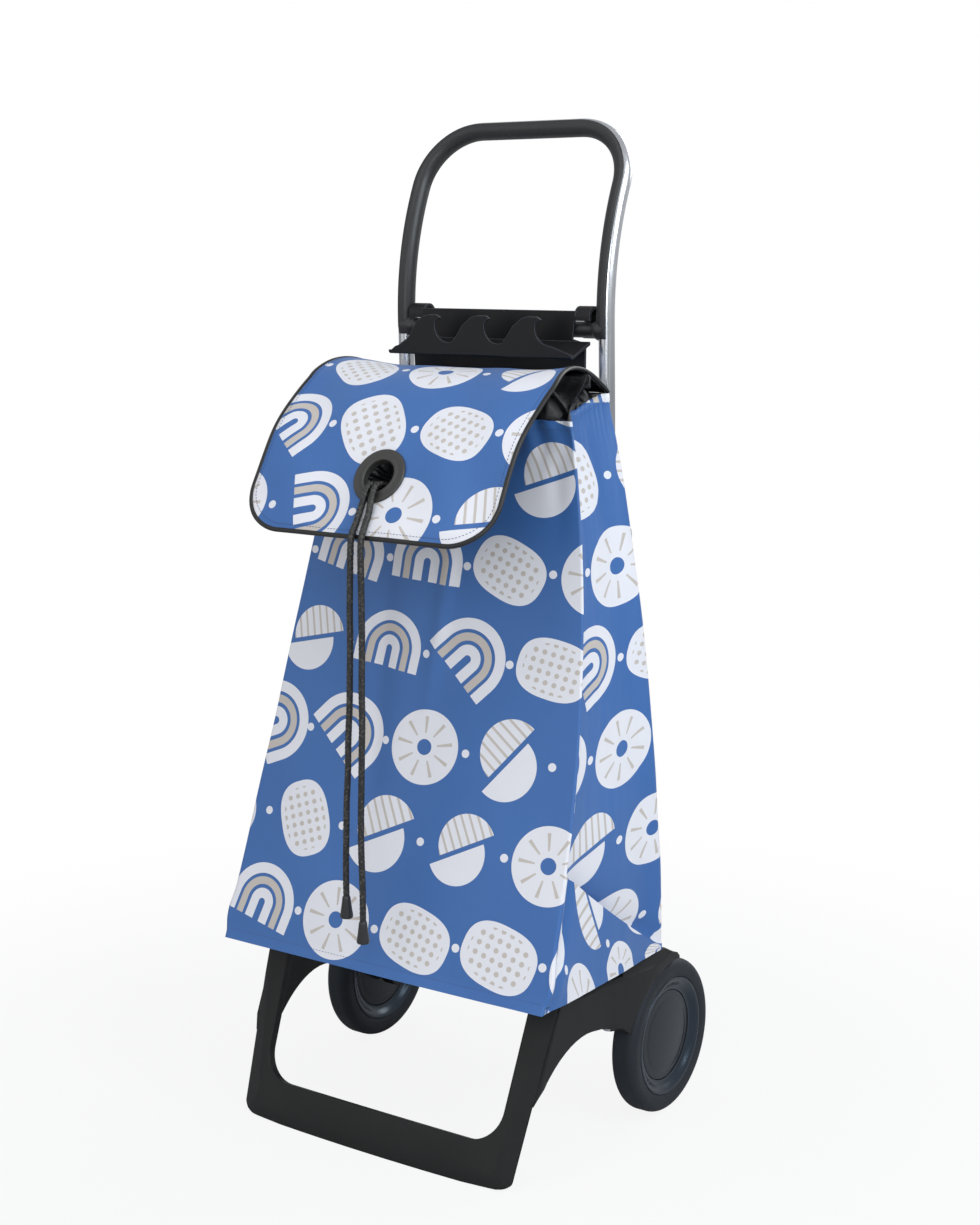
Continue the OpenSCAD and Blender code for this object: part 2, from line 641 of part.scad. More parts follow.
module loop_outline(e) {
  r = tube_r + 2.2 - e;
  back = bag_back + seat + e;
  circle(r);
  polygon([[-r - 8 + e, back], [loop_reach - 2 * e, back], [r * .8, r * .5], [-r * .8, r * .4]]);
}

// ---- flap ----
root_path = walk(flap_start, flap_rise, root_runs);
panel_path = walk(hinge[0], hinge[1], concat(panel_runs, [[flat_run, 0, 1], lip_run]));
// A sheet at the given offsets above the moving part of the flap, outlined with its round lower corners
module flap_sheet(lo, hi, grow) {
  half = flap_w / 2 + grow;
  intersection() {
    across(-half, half) polygon(sheet(panel_path, lo, hi));
    translate([0, flat_start[0][0], flat_start[0][1]]) rotate([flap_slope, 0, 0])
      translate([0, 0, -far / 2]) linear_extrude(far) flap_outline(grow);
  }
}
module flap_outline(grow) {
  half = flap_w / 2 + grow;
  r = flap_corner + grow;
  low = -(flat_run + lip_run[0] * cos(lip_run[1] / 2)) - grow + piping_w;
  polygon(concat(
    [[half, far], [-half, far]],
    arc([-half + r, low + r], r, 180, 270, 8),
    arc([half - r, low + r], r, 270, 360, 8)
  ));
}
module hinge_zone(r) translate([0, hinge[0][0], hinge[0][1]]) rod(r, -far / 2, far / 2);
module eyelet_frame() translate([eyelet_x, eyelet_at[0], eyelet_at[1]]) rotate([flap_slope, 0, 0]) children();
module flap_root() color("#3a63a8") at_axle() union() {
  across(-flap_w / 2, flap_w / 2) polygon(sheet(root_path, -flap_t / 2, flap_t / 2));
  translate([0, hinge[0][0], hinge[0][1]]) rod(hinge_r, -flap_w / 2, flap_w / 2);
}
module flap_panel() color("#3f6ab2") at_axle() difference() {
  flap_sheet(-flap_t / 2, flap_t / 2, 0);
  hinge_zone(hinge_r + seat);
  eyelet_frame() cylinder(r = eyelet_hole / 2 + 2.5, h = 60, center = true);
}
module flap_lining() color("#16171a") at_axle() difference() {
  flap_sheet(-flap_t / 2 - seat / 2 - lining_t, -flap_t / 2 - seat / 2, -1);
  hinge_zone(hinge_r + 1);
  eyelet_frame() cylinder(r = eyelet_hole / 2 + 2.5, h = 60, center = true);
}
module flap_piping() color("#131416") at_axle() difference() {
  flap_sheet(-piping_w / 2, piping_w / 2, piping_w);
  translate([0, 0, 0]) flap_sheet(-far / 40, far / 40, seat);
  hinge_zone(hinge_r + 1.5);
}
module eyelet_front() color("#141517") at_axle() eyelet_frame() rotate_extrude() {
  r = eyelet_hole / 2;
  top = flap_t / 2 + seat / 2;
  polygon(concat(
    [[r, -flap_t / 2 - lining_t - 2.4], [r + 2, -flap_t / 2 - lining_t - 2.4], [r + 2, top], [eyelet_d / 2, top]],
    [for (i = [0:6]) let (a = 180 * i / 6, m = (eyelet_d / 2 + r) / 2, h = (eyelet_d / 2 - r) / 2)
      [m + h * cos(a), top + 0.6 + 2.6 * sin(a)]]
  ));
}
module eyelet_back() color("#141517") at_axle() eyelet_frame() rotate_extrude() {
  r = eyelet_hole / 2 + 2 + tight;
  top = -flap_t / 2 - seat - lining_t;
  polygon([[r, top], [eyelet_d / 2 - 2, top], [eyelet_d / 2 - 3, top - 1.4], [r, top - 1.4]]);
}

// ---- cords ----
function unit(v) = v / norm(v);
function route_dir(p, i) = unit(p[min(i + 1, len(p) - 1)] - p[max(i - 1, 0)]);
function ring(p, i, r, n) = let (t = route_dir(p, i), u = unit(cross(t, [1, 0.3, 0])), v = cross(t, u))
  [for (k = [0:n - 1]) p[i] + r * (u * cos(360 * k / n) + v * sin(360 * k / n))];
// A route with each stretch halved by a point of a smooth curve through its points
function finer(p) = concat([for (i = [0:len(p) - 2]) each [p[i], halfway(p, i)]], [p[len(p) - 1]]);
function halfway(p, i) = let (a = p[max(i - 1, 0)], b = p[i], c = p[i + 1], d = p[min(i + 2, len(p) - 1)])
  (9 * (b + c) - (a + d)) / 16;
module cord(route) {
  p = finer(route);
  n = 8;
  last = len(p) - 1;
  polyhedron(
    points = [for (i = [0:last]) each ring(p, i, cord_r, n)],
    faces = concat(
      [[for (k = [0:n - 1]) k]],
      [for (i = [0:last - 1], k = [0:n - 1]) let (j = (k + 1) % n) each
        [[i * n + k, (i + 1) * n + k, (i + 1) * n + j], [i * n + k, (i + 1) * n + j, i * n + j]]],
      [[for (k = [n - 1:-1:0]) last * n + k]]
    )
  );
}
module cord_tip(route) {
  r = tip_d / 2;
  translate(route[len(route) - 1]) rotate_extrude() polygon([
    [0, -0.02], [cord_r + 0.6, -0.02], [cord_r + 1.2, -tip_len * 0.3], [r - 0.6, -tip_len * 0.72],
    [r, -tip_len + 1.4], [r - 1, -tip_len], [0, -tip_len]
  ]);
}

base_moulding();
frame_tube();
handle_grip();
hook_rack();
axle();
axle_nuts();
axle_spacers();
color("#222326") at_wheel(-1) tyre();  // tyre_left
color("#2c2e33") at_wheel(-1) hub();  // hub_left
color("#e8e8e4") at_wheel(-1) bush();  // bush_left
color("#1c1d20") at_wheel(-1) outer_disc();  // outer_disc_left
color("#1c1d20") at_wheel(-1) inner_disc();  // inner_disc_left
color("#222326") at_wheel(1) tyre();  // tyre_right
color("#2c2e33") at_wheel(1) hub();  // hub_right
color("#e8e8e4") at_wheel(1) bush();  // bush_right
color("#1c1d20") at_wheel(1) outer_disc();  // outer_disc_right
color("#1c1d20") at_wheel(1) inner_disc();  // inner_disc_right
bag_body();
bag_base_board();
bag_collar();
bag_rivets();
tube_loop(-1);  // tube_loop_left
tube_loop(1);  // tube_loop_right
flap_root();
flap_panel();
flap_lining();
flap_piping();
eyelet_front();
eyelet_back();
color("#141414") at_axle() cord(cord_left_route);  // cord_left
color("#141414") at_axle() cord(cord_right_route);  // cord_right
color("#1a1a1c") at_axle() cord_tip(cord_left_route);  // cord_tip_left
color("#1a1a1c") at_axle() cord_tip(cord_right_route);  // cord_tip_right
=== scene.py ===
import math

import bmesh
import bpy
import numpy as np
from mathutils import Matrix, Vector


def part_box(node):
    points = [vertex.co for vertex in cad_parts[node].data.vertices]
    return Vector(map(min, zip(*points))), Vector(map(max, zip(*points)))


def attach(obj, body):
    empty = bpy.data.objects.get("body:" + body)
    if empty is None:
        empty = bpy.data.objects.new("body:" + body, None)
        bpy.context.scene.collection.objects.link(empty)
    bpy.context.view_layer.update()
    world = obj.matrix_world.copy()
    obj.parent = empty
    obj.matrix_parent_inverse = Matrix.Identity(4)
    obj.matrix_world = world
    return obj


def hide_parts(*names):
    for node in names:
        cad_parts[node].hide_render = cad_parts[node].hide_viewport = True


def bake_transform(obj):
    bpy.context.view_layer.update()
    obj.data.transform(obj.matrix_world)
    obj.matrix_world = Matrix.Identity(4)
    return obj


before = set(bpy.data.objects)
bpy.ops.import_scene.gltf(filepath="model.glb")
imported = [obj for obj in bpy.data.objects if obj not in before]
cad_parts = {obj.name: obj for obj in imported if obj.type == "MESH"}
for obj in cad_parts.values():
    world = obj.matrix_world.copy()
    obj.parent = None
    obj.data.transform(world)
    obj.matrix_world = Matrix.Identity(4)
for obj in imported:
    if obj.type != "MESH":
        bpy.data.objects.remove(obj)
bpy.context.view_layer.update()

# ---- camera ----
# It stands two metres off the trolley's right front, at the height of the handle, and looks a little down.
scene = bpy.context.scene
camera = bpy.data.objects.new("camera", bpy.data.cameras.new("camera"))
scene.collection.objects.link(camera)
scene.camera = camera
camera.data.lens = 58.78
camera.location = (1.1485, -1.62965, 0.8794)
camera.rotation_euler = (math.radians(79.75), 0, math.radians(34.38))

# ---- drawcords ----
# The two ends of the cord that gathers the bag's collar: 6 mm black braid, hanging down out of the eyelet.
# Each is a tube along its route with the strands of the braid raised on it, and ends in a black plastic bell.
AXLE_LOW, AXLE_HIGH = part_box("axle")
AXLE_Y, AXLE_Z = (AXLE_LOW.y + AXLE_HIGH.y) / 2, (AXLE_LOW.z + AXLE_HIGH.z) / 2


def behind_axle(points):
    """Points given in millimetres, with Y from the axle, as metres in the trolley's frame: Y plus the axle's Y."""
    return np.array(points, float) / 1000 + [0, AXLE_Y, 0]


def unit(v):
    """Each vector over its own length."""
    return v / np.maximum(np.linalg.norm(v, axis=-1, keepdims=True), 1e-12)


def columns(*parts):
    """The parts side by side along a new last axis, single numbers repeated as often as needed."""
    return np.stack(np.broadcast_arrays(*parts), -1)


def skin(points, uv=None, wrap=(False, True), keep=None, facing=None, sharp=80):
    """A mesh over grids of points (copies, rows, columns, 3): each face joins four neighbours, and a wrapped grid's
    last row or column joins its first. uv is such a grid with the join's row or column repeated. Faces look away
    from the mesh's middle, or towards facing; keep says which faces stay."""
    points = points if points.ndim == 4 else points[None]
    copies, rows, cols = points.shape[:3]
    n, i, j = np.meshgrid(np.arange(copies), np.arange(rows - (not wrap[0])), np.arange(cols - (not wrap[1])),
                          indexing="ij")
    n, i, j = (a.ravel() if keep is None else a[0][keep] for a in (n, i, j))
    step = ((0, 0), (0, 1), (1, 1), (1, 0))
    corners = np.stack([(n * rows + (i + a) % rows) * cols + (j + b) % cols for a, b in step], 1)
    flat = points.reshape(-1, 3)
    four = flat[corners]
    normals = np.cross(four[:, 2] - four[:, 0], four[:, 3] - four[:, 1])
    towards = four.mean(1) - points.mean((1, 2))[n] if facing is None else np.array(facing, float)
    order = [0, 1, 2, 3] if (towards * normals).sum() > 0 else [3, 2, 1, 0]
    used, index = np.unique(corners[:, order], return_inverse=True)
    mesh = bpy.data.meshes.new("surface")
    mesh.from_pydata(flat[used].tolist(), [], index.reshape(-1, 4).tolist())
    if uv is not None:
        wide = uv.shape[1]
        at = np.stack([(i + a) * wide + j + b for a, b in step], 1)[:, order]
        mesh.uv_layers.new(name="cut").data.foreach_set("uv", uv.reshape(-1, 2)[at].ravel().astype(np.float32))
    bm = bmesh.new()
    bm.from_mesh(mesh)
    bmesh.ops.remove_doubles(bm, verts=bm.verts, dist=2e-6)
    bm.to_mesh(mesh)
    bm.free()
    mesh.polygons.foreach_set("use_smooth", np.ones(len(mesh.polygons), bool))
    mesh.set_sharp_from_angle(angle=math.radians(sharp))
    return mesh


def follow(path, side, section):
    """A section (steps or 1, corners, 2) carried along a path: the path's point, plus the section's first number
    along the side direction squared to the path, plus its second along the path's direction crossed with that side.
    Each end is closed by a last ring drawn into the middle."""
    t = unit(np.gradient(path, axis=0))
    n = unit(side - (side * t).sum(-1, keepdims=True) * t)
    b = np.cross(t, n)
    section = np.broadcast_to(section, (len(path), *np.shape(section)[-2:]))
    rings = path[:, None] + section[..., :1] * n[:, None] + section[..., 1:] * b[:, None]
    first, last = (np.broadcast_to(rings[end].mean(0), rings[:1].shape) for end in (0, -1))
    return np.concatenate([first, rings, last])


def circle(radius, sides):
    """Points of a circle: radius times cosine and sine, for one turn."""
    a = np.linspace(0, 2 * np.pi, sides, endpoint=False)
    return columns(radius * np.cos(a), radius * np.sin(a))


def turned(profile, centre, axis, sides):
    """A turned piece: each (radius, distance) of the profile goes once round the axis through the centre. A profile
    that doesn't start on the axis closes on itself, as a ring's does."""
    axis = unit(np.array(axis, float))
    u = unit(np.cross(axis, [0.3, 0.2, 1.0]))
    ring = circle(1, sides) @ np.stack([u, np.cross(axis, u)])
    profile = np.array(profile, float)
    points = np.array(centre) + profile[:, 1, None, None] * axis + profile[:, 0, None, None] * ring
    return skin(points, wrap=(profile[0, 0] > 0, True), sharp=30)


def put(name, mesh, body, finish, slot, *nodes):
    """Makes a piece of a mesh: it takes the finish, rides on the body, and stands for the nodes."""
    mesh.name = name
    obj = bpy.data.objects.new(name, mesh)
    scene.collection.objects.link(obj)
    mesh.materials.append(finish)
    if nodes:
        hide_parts(*nodes)
    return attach(obj, body) if body else obj


def shade(red, green, blue):
    """A colour of 0 to 255 as the shader takes it: over 255, then the screen's curve undone."""
    parts = (c / 255 for c in (red, green, blue))
    return tuple(c / 12.92 if c < 0.04045 else ((c + 0.055) / 1.055) ** 2.4 for c in parts) + (1,)


class Field:
    """A number at each point of a surface, worked out in the material by one node for each step of the sum."""

    def __init__(self, tree, socket):
        self.tree, self.socket = tree, socket

    def by(self, kind, *others):
        """This number and the others through one step of the named kind."""
        node = self.tree.nodes.new("ShaderNodeMath")
        node.operation = kind
        for put_in, value in zip(node.inputs, (self, *others)):
            wire(self.tree, put_in, value)
        return Field(self.tree, node.outputs[0])

    __add__, __sub__, __mul__, __truediv__, over, under = (
        lambda self, other, kind=kind: self.by(kind, other)
        for kind in ("ADD", "SUBTRACT", "MULTIPLY", "DIVIDE", "GREATER_THAN", "LESS_THAN"))

    def held(self):
        """The number held between 0 and 1."""
        return self.by("MAXIMUM", 0).by("MINIMUM", 1)


def wire(tree, socket, value):
    """Sets a socket to a number or colour, or links it to an output."""
    if isinstance(value, Field):
        value = value.socket
    if isinstance(value, bpy.types.NodeSocket):
        tree.links.new(value, socket)
    else:
        socket.default_value = value


def add(tree, kind, inputs, **settings):
    """A new node with its inputs by name and its settings; gives back the node."""
    node = tree.nodes.new(kind)
    for key, value in settings.items():
        setattr(node, key, value)
    for key, value in inputs.items():
        wire(tree, node.inputs[key], value)
    return node


def paint(name, **values):
    """A new finish; values are the shader's own inputs, with _ for a space. Gives back the material, its nodes and
    its shader."""
    material = bpy.data.materials.new(name)
    material.use_nodes = True
    tree = material.node_tree
    shader = tree.nodes["Principled BSDF"]
    for key, value in values.items():
        shader.inputs[key.replace("_", " ")].default_value = value
    return material, tree, shader


def tint(tree, amount, one, other):
    """A mix of two colours by an amount from 0 to 1."""
    mix = add(tree, "ShaderNodeMix", {}, data_type="RGBA")
    wire(tree, mix.inputs[0], amount)
    wire(tree, mix.inputs[6], one)
    wire(tree, mix.inputs[7], other)
    return mix.outputs[2]


def spread(tree, value, low, high):
    """A number from 0 to 1 as one from low to high."""
    return add(tree, "ShaderNodeMapRange", {"Value": value, "To Min": low, "To Max": high}).outputs[0]


def rounded_way(tree, radius):
    """The way out of the surface, as if its edges were rounded by the radius."""
    return add(tree, "ShaderNodeBevel", {"Radius": radius}, samples=6).outputs[0]


def relief(tree, shader, height, distance, strength=1.0, soft=0.0):
    """Raises the surface's shading by a height in distances; its edges are shaded as if rounded by soft."""
    bump = add(tree, "ShaderNodeBump", {"Height": height, "Distance": distance, "Strength": strength})
    if soft:
        wire(tree, bump.inputs["Normal"], rounded_way(tree, soft))
    wire(tree, shader.inputs["Normal"], bump.outputs[0])


def place(tree):
    """The point's own place on the trolley."""
    return add(tree, "ShaderNodeTexCoord", {}).outputs["Object"]


def noise(tree, scale, detail, roughness=0.5, where=None):
    """Cloudy noise from 0 to 1, with scale clouds to the metre; where is a place other than the point's own."""
    inputs = {"Vector": where or place(tree), "Scale": scale, "Detail": detail, "Roughness": roughness}
    return Field(tree, add(tree, "ShaderNodeTexNoise", inputs).outputs[0])


def moulding(name, colour, rough, grain=1300, depth=0.00005, specular=0.5, soft=0.0, edge=None, gleam=(1, 1, 1, 1)):
    """A moulded plastic: fine grain all over, colour a shade up and down in clouds, and patches rubbed smoother.
    soft rounds its edges by so much in the shading; edge is the paler colour of a painted highlight, laid on the
    edges where the rounded way out leaves the true one, for the light that rounded edges catch; gleam tints what it
    reflects."""
    material, tree, shader = paint(name, Specular_IOR_Level=specular, Specular_Tint=gleam)
    light = tuple(min(1, c * 1.35 + 0.002) for c in colour[:3]) + (1,)
    dark = tuple(c * 0.8 for c in colour[:3]) + (1,)
    body = tint(tree, noise(tree, 9, 4), dark, light)
    # painted highlight: the colour is lifted towards edge where the surface turns round an edge
    if edge:
        ways = {0: rounded_way(tree, soft), 1: add(tree, "ShaderNodeNewGeometry", {}).outputs["Normal"]}
        along = Field(tree, add(tree, "ShaderNodeVectorMath", ways, operation="DOT_PRODUCT").outputs["Value"])
        body = tint(tree, (along * -4 + 3.9).held(), body, edge)
    wire(tree, shader.inputs["Base Color"], body)
    rub = noise(tree, 34, 5, 0.6)
    wire(tree, shader.inputs["Roughness"], spread(tree, rub, rough - 0.1, rough + 0.1))
    relief(tree, shader, noise(tree, grain, 2), depth, soft=soft)
    return material


CORD_LEFT = behind_axle([
    [-1, -226, 661], [-1, -234, 663], [-1, -243, 662.6], [-1, -249, 657], [-1, -252.5, 650], [-2, -257, 639.5],
    [-2, -262.4, 629.5], [-3, -268, 619], [-3, -270.4, 606], [-4, -270.2, 580], [-5, -270, 549],
    [-5, -270, 517], [-6, -269.8, 486], [-7, -269.7, 454], [-9, -269.6, 423], [-10, -269.5, 391],
    [-12, -269.5, 360], [-13, -269.5, 328], [-14, -269.5, 297], [-14, -269.5, 265]])
CORD_RIGHT = behind_axle([
    [7, -226, 661], [7, -234, 663], [7, -243, 662.6], [8, -249, 657], [8, -252.5, 650], [9, -257, 639.5],
    [9, -262.4, 629.5], [9, -268, 619], [9, -270.4, 606], [9, -270.2, 577], [9, -270, 543],
    [9, -270, 510], [8, -269.8, 476], [8, -269.7, 443], [7, -269.6, 410], [6, -269.5, 376],
    [5, -269.5, 343], [5, -269.5, 310], [6, -269.5, 276], [6, -269.5, 243]])
CORD_R = 0.003
STRAND_TURN = 0.017     # length in which a strand goes once round the cord
BELL = [(0, 0.0002), (0.0030, 0.0002), (0.0036, -0.0003), (0.0040, -0.0012), (0.0045, -0.006), (0.0053, -0.012),
        (0.0060, -0.0165), (0.0064, -0.0192), (0.0064, -0.0203), (0.0059, -0.0214), (0.0048, -0.0219),
        (0.003, -0.0215), (0, -0.0213)]


def smooth_route(points, per_stretch):
    """A smooth curve through the points: on each stretch the cubic whose slope at either end is half the way
    between that end's neighbours."""
    p = np.concatenate([points[:1], points, points[-1:]])
    a, b, c, d = (p[i:len(p) - 3 + i, None] for i in range(4))
    f = np.linspace(0, 1, per_stretch, endpoint=False)[None, :, None]
    curve = 0.5 * (2 * b + (c - a) * f + (2 * a - 5 * b + 4 * c - d) * f ** 2 + (3 * b - a - 3 * c + d) * f ** 3)
    return np.concatenate([curve.reshape(-1, 3), points[-1:]])


def distances(path):
    """How far along the path each of its points lies."""
    return np.r_[0, np.cumsum(np.linalg.norm(np.diff(path, axis=0), axis=1))]


def braided(route):
    """A braided cord: a tube whose radius rises and falls with two sets of four strands that wind opposite ways, at
    each place the one that lies on top."""
    path = smooth_route(route, 36)
    a = np.linspace(0, 2 * np.pi, 32, endpoint=False)[None, :]
    s = distances(path)[:, None] * 2 * np.pi / STRAND_TURN
    right, left = 2 * (a + s), 2 * (a - s)
    on_top = np.sin(right + 0.8) * np.sin(left + 0.8) > 0
    strand = np.where(on_top, np.abs(np.cos(right)), np.abs(np.cos(left)))
    radius = CORD_R * (0.88 + 0.20 * strand ** 0.7)
    section = columns(radius * np.cos(a), radius * np.sin(a))
    return skin(follow(path, np.array([1.0, 0, 0]), section)), path


braid, tree, shader = paint("black_braid", Roughness=0.45, Specular_IOR_Level=0.6)
glint = ((noise(tree, 420, 2) - 0.52) * 9).held()
wire(tree, shader.inputs["Base Color"], tint(tree, glint, shade(9, 9, 10), shade(66, 62, 56)))
relief(tree, shader, noise(tree, 2600, 2), 0.0002)
bell = moulding("cord_end_plastic", shade(34, 35, 37), 0.36, grain=2200, depth=0.00003)

for side, route in (("left", CORD_LEFT), ("right", CORD_RIGHT)):
    mesh, path = braided(route)
    cord = put("drawcord_" + side, mesh, "flap", braid, "cord_braid", "cord_" + side)
    end = put("cord_end_" + side, turned(BELL, route[-1], (0, 0, 1), 48), "flap", bell, "cord_tip_plastic",
              "cord_tip_" + side)

# ---- frame tube ----
# One aluminium tube, 16 mm across, runs up from the base, leans back, and makes the hoop of the handle.
# It is drawn tube, bright, with fine lines along it, and bent on a former.
TUBE_R, LEG_X, LEG_LEN = 0.008, 0.123, 0.730
BEND_R, BEND_A, CORNER_R, RUN = 0.302, math.radians(25.6), 0.063, 0.0038
LEAN = math.radians(1.63)


def tip_x(points, angle):
    """Points turned about X: Y cos - Z sin, and Y sin + Z cos."""
    x, y, z = np.moveaxis(np.asarray(points, float), -1, 0)
    return columns(x, y * math.cos(angle) - z * math.sin(angle), y * math.sin(angle) + z * math.cos(angle))


def upright(points):
    """From the legs' own frame, whose Z runs up them from the axle, to the trolley's."""
    return tip_x(points, LEAN) + [0, AXLE_Y, AXLE_Z]


def hoop(low, spacing):
    """The middle line of the tube from height low on the right leg over the top to the left leg, and its backward
    direction, in the trolley's frame: a straight leg, an arc backwards, a short straight, a quarter circle inwards,
    half the top bar, and the same mirrored."""
    z = np.arange(low, LEG_LEN, spacing)
    leg = columns(LEG_X, 0, z)
    a = np.linspace(0, BEND_A, 25)
    bend = columns(LEG_X, BEND_R * (1 - np.cos(a)), LEG_LEN + BEND_R * np.sin(a))
    c = np.linspace(0, np.pi / 2, 31)
    corner = columns(LEG_X - CORNER_R + CORNER_R * np.cos(c), 0, RUN + CORNER_R * np.sin(c))
    bar = columns(np.linspace(LEG_X - CORNER_R, 0, 8)[1:], 0, RUN + CORNER_R)
    over = tip_x(np.concatenate([corner, bar]), -BEND_A) + bend[-1] * [0, 1, 1]
    half = np.concatenate([leg, bend, over])
    lean_back = np.concatenate([0 * z, a, np.full(len(over), BEND_A)])
    back = columns(0, np.cos(lean_back), -np.sin(lean_back))
    line = np.concatenate([half, half[-2::-1] * [-1, 1, 1]])
    return upright(line), tip_x(np.concatenate([back, back[-2::-1]]), LEAN)


def mottle(tree, shader, scale, detail, dark, light):
    """Colours a surface in clouds, scale of them to the metre, from dark to light."""
    wire(tree, shader.inputs["Base Color"], tint(tree, noise(tree, scale, detail), dark, light))


path, back = hoop(-0.009, 0.02)
bright, tree, shader = paint("bright_tube", Metallic=1.0)
stretch = add(tree, "ShaderNodeMapping", {"Vector": place(tree), "Scale": (900, 900, 9)}).outputs[0]
lines = noise(tree, 1, 3, where=stretch)
mottle(tree, shader, 24, 3, shade(196, 199, 203), shade(226, 228, 231))
wire(tree, shader.inputs["Roughness"], spread(tree, lines, 0.16, 0.34))
relief(tree, shader, lines, 0.00003, 0.5)
put("frame_tube", skin(follow(path, back, circle(TUBE_R, 40)), sharp=38), "chassis", bright, "tube_aluminium",
    "frame_tube")

# ---- grip ----
# A satin black plastic sleeve clipped round the inside and front of the hoop, from the cross bar of one leg to the
# other's. The cross bar is moulded with it and joins the legs; the hook rack hangs on it.
GRIP_R, BAR_Z = 0.0102, 0.723
path, back = hoop(BAR_Z - 0.0085, 0.004)
turn = np.radians(np.linspace(-25, 150, 40))
outer = columns(-np.sin(turn), -np.cos(turn))
lip = np.array([0.90, 0.97, 1.0])
scale_out = GRIP_R * np.r_[lip, np.ones(34), lip[::-1]][:, None]
section = np.concatenate([outer * scale_out, outer[::-1] * (TUBE_R + 0.0001)])
section = columns(section[:, 1], -section[:, 0])
ends = np.concatenate([[0.86, 0.95], np.ones(len(path) - 4), [0.95, 0.86]])
grow = np.concatenate([np.tile(ends[:, None], (1, 40)), np.ones((len(path), 40))], 1)[..., None]
black_grip = moulding("grip_plastic", shade(30, 31, 33), 0.40, grain=1700)
grip = skin(follow(path, back, section * grow), sharp=50)
put("grip_sleeve", grip, "chassis", black_grip, "grip_plastic", "handle_grip")
x = np.r_[-LEG_X, -LEG_X + np.array([0.006, 0.0085, 0.0095, 0.011, 0.0135, 0.018]), np.linspace(-0.1, 0.1, 9)]
x = np.r_[x, -x[6:0:-1], LEG_X]
radius = 0.008 + 0.0026 * np.exp(-((LEG_X - np.abs(x) - 0.0085).clip(0) / 0.0028) ** 2)
bar = turned(columns(np.r_[0, radius, 0], np.r_[x[0], x, x[-1]]), upright([0, 0, BAR_Z]), (1, 0, 0), 48)
put("cross_bar", bar, "chassis", black_grip, "grip_plastic")

# ---- hook rack ----
# One black moulding: a panel that clips on the cross bar and, along its front, a gutter cut into three hooks for
# carrier bags. Its walls are thin, so its edges are rounded only a little; their paler colour is a painted highlight.


def put_rounded(node, finish, slot, width):
    """Puts a hard moulding of the chassis in its node's place: as its construction gives it, its facets joined up
    again and its edges rounded by width."""
    bm = bmesh.new()
    bm.from_mesh(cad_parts[node].data)
    bmesh.ops.remove_doubles(bm, verts=bm.verts, dist=2e-5)
    bmesh.ops.dissolve_limit(bm, angle_limit=math.radians(0.6), verts=bm.verts, edges=bm.edges)
    mesh = bpy.data.meshes.new(node)
    bm.to_mesh(mesh)
    bm.free()
    mesh.polygons.foreach_set("use_smooth", np.ones(len(mesh.polygons), bool))
    obj = put(node, mesh, "chassis", finish, slot, node)
    bevel = obj.modifiers.new("edges", "BEVEL")
    bevel.width, bevel.segments, bevel.angle_limit = width, 3, math.radians(28)
    bevel.limit_method, bevel.use_clamp_overlap, bevel.harden_normals = "ANGLE", True, True
    obj.modifiers.new("flats", "WEIGHTED_NORMAL").keep_sharp = True


# edge: a pale bluish painted highlight along the rack's edges
black_rack = moulding("rack_plastic", shade(22, 22, 24), 0.40, grain=1500, specular=0.24, soft=0.0012,
                      edge=shade(92, 98, 110))
put_rounded("hook_rack", black_rack, "rack_plastic", 0.0006)

# ---- base ----
# One large black moulding carries everything: a hoop for a foot, an arm on each side that flares out over the
# wheel, the sockets of the tube, and the axle's bearers. It is matt, and its edges are softly rounded.
black_base = moulding("base_plastic", shade(25, 25, 25), 0.44, grain=1200, depth=0.00008, specular=0.25, soft=0.0030)
put_rounded("base_moulding", black_base, "base_plastic", 0.0022)

# ---- axle, wheels ----
# A plated steel rod with push-on nuts and pale spacers. Each wheel is a glossy dished hub with a thick foam tyre
# round it, and a domed disc pressed into either side.


def roughen(tree, shader, scale, detail, low, high):
    """Makes a surface rougher in patches, scale of them to the metre, from low to high."""
    wire(tree, shader.inputs["Roughness"], spread(tree, noise(tree, scale, detail), low, high))


def dress(node, finish):
    """Gives a node's own solids a finish."""
    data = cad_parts[node].data
    data.materials.clear()
    data.materials.append(finish)


plated, tree, shader = paint("plated_steel", Metallic=1.0)
mottle(tree, shader, 60, 4, shade(176, 178, 180), shade(205, 207, 209))
roughen(tree, shader, 300, 3, 0.22, 0.4)
nylon = moulding("natural_nylon", shade(226, 226, 220), 0.4, depth=0.00002)
for node in ("axle", "axle_nuts"):
    dress(node, plated)
for node in ("axle_spacers", "bush_left", "bush_right"):
    dress(node, nylon)

WHEEL_X, WHEEL_R, TYRE_HALF, SEAM_R, DISC_R, HUB_HALF = 0.184, 0.080, 0.014, 0.0615, 0.047, 0.013
DISC_EDGE, DISC_T, DOME = HUB_HALF - 0.0065, 0.0018, 0.0032
BUSH_R, NUT_R = 0.00705, 0.0095
foam, tree, shader = paint("tyre_foam", Specular_IOR_Level=0.26, Specular_Tint=(0.80, 0.90, 1, 1))
mottle(tree, shader, 26, 4, shade(32, 34, 38), shade(42, 45, 50))
roughen(tree, shader, 60, 4, 0.5, 0.68)
pits = Field(tree, add(tree, "ShaderNodeTexVoronoi", {"Vector": place(tree), "Scale": 620}).outputs[0])
relief(tree, shader, noise(tree, 1500, 3) + pits * 0.6, 0.00012, 0.7)
gloss_hub = moulding("hub_plastic", shade(24, 28, 35), 0.24, grain=700, depth=0.00002, specular=0.6,
                     gleam=(0.62, 0.80, 1, 1))
gloss_disc = moulding("disc_plastic", shade(22, 26, 32), 0.22, grain=600, depth=0.00002, specular=0.38,
                      gleam=(0.85, 0.92, 1, 1))


def quarter(radius, across, r, a0, a1, steps):
    """Profile points of a rounded edge: a circle of r about (radius, across) from angle a0 to a1 in degrees."""
    a = np.radians(np.linspace(a0, a1, steps))
    return columns(radius + r * np.cos(a), across + r * np.sin(a))


def both_sides(half):
    """A profile whose other half is the same the other way round and mirrored."""
    return np.concatenate([half, half[::-1] * [1, -1]])


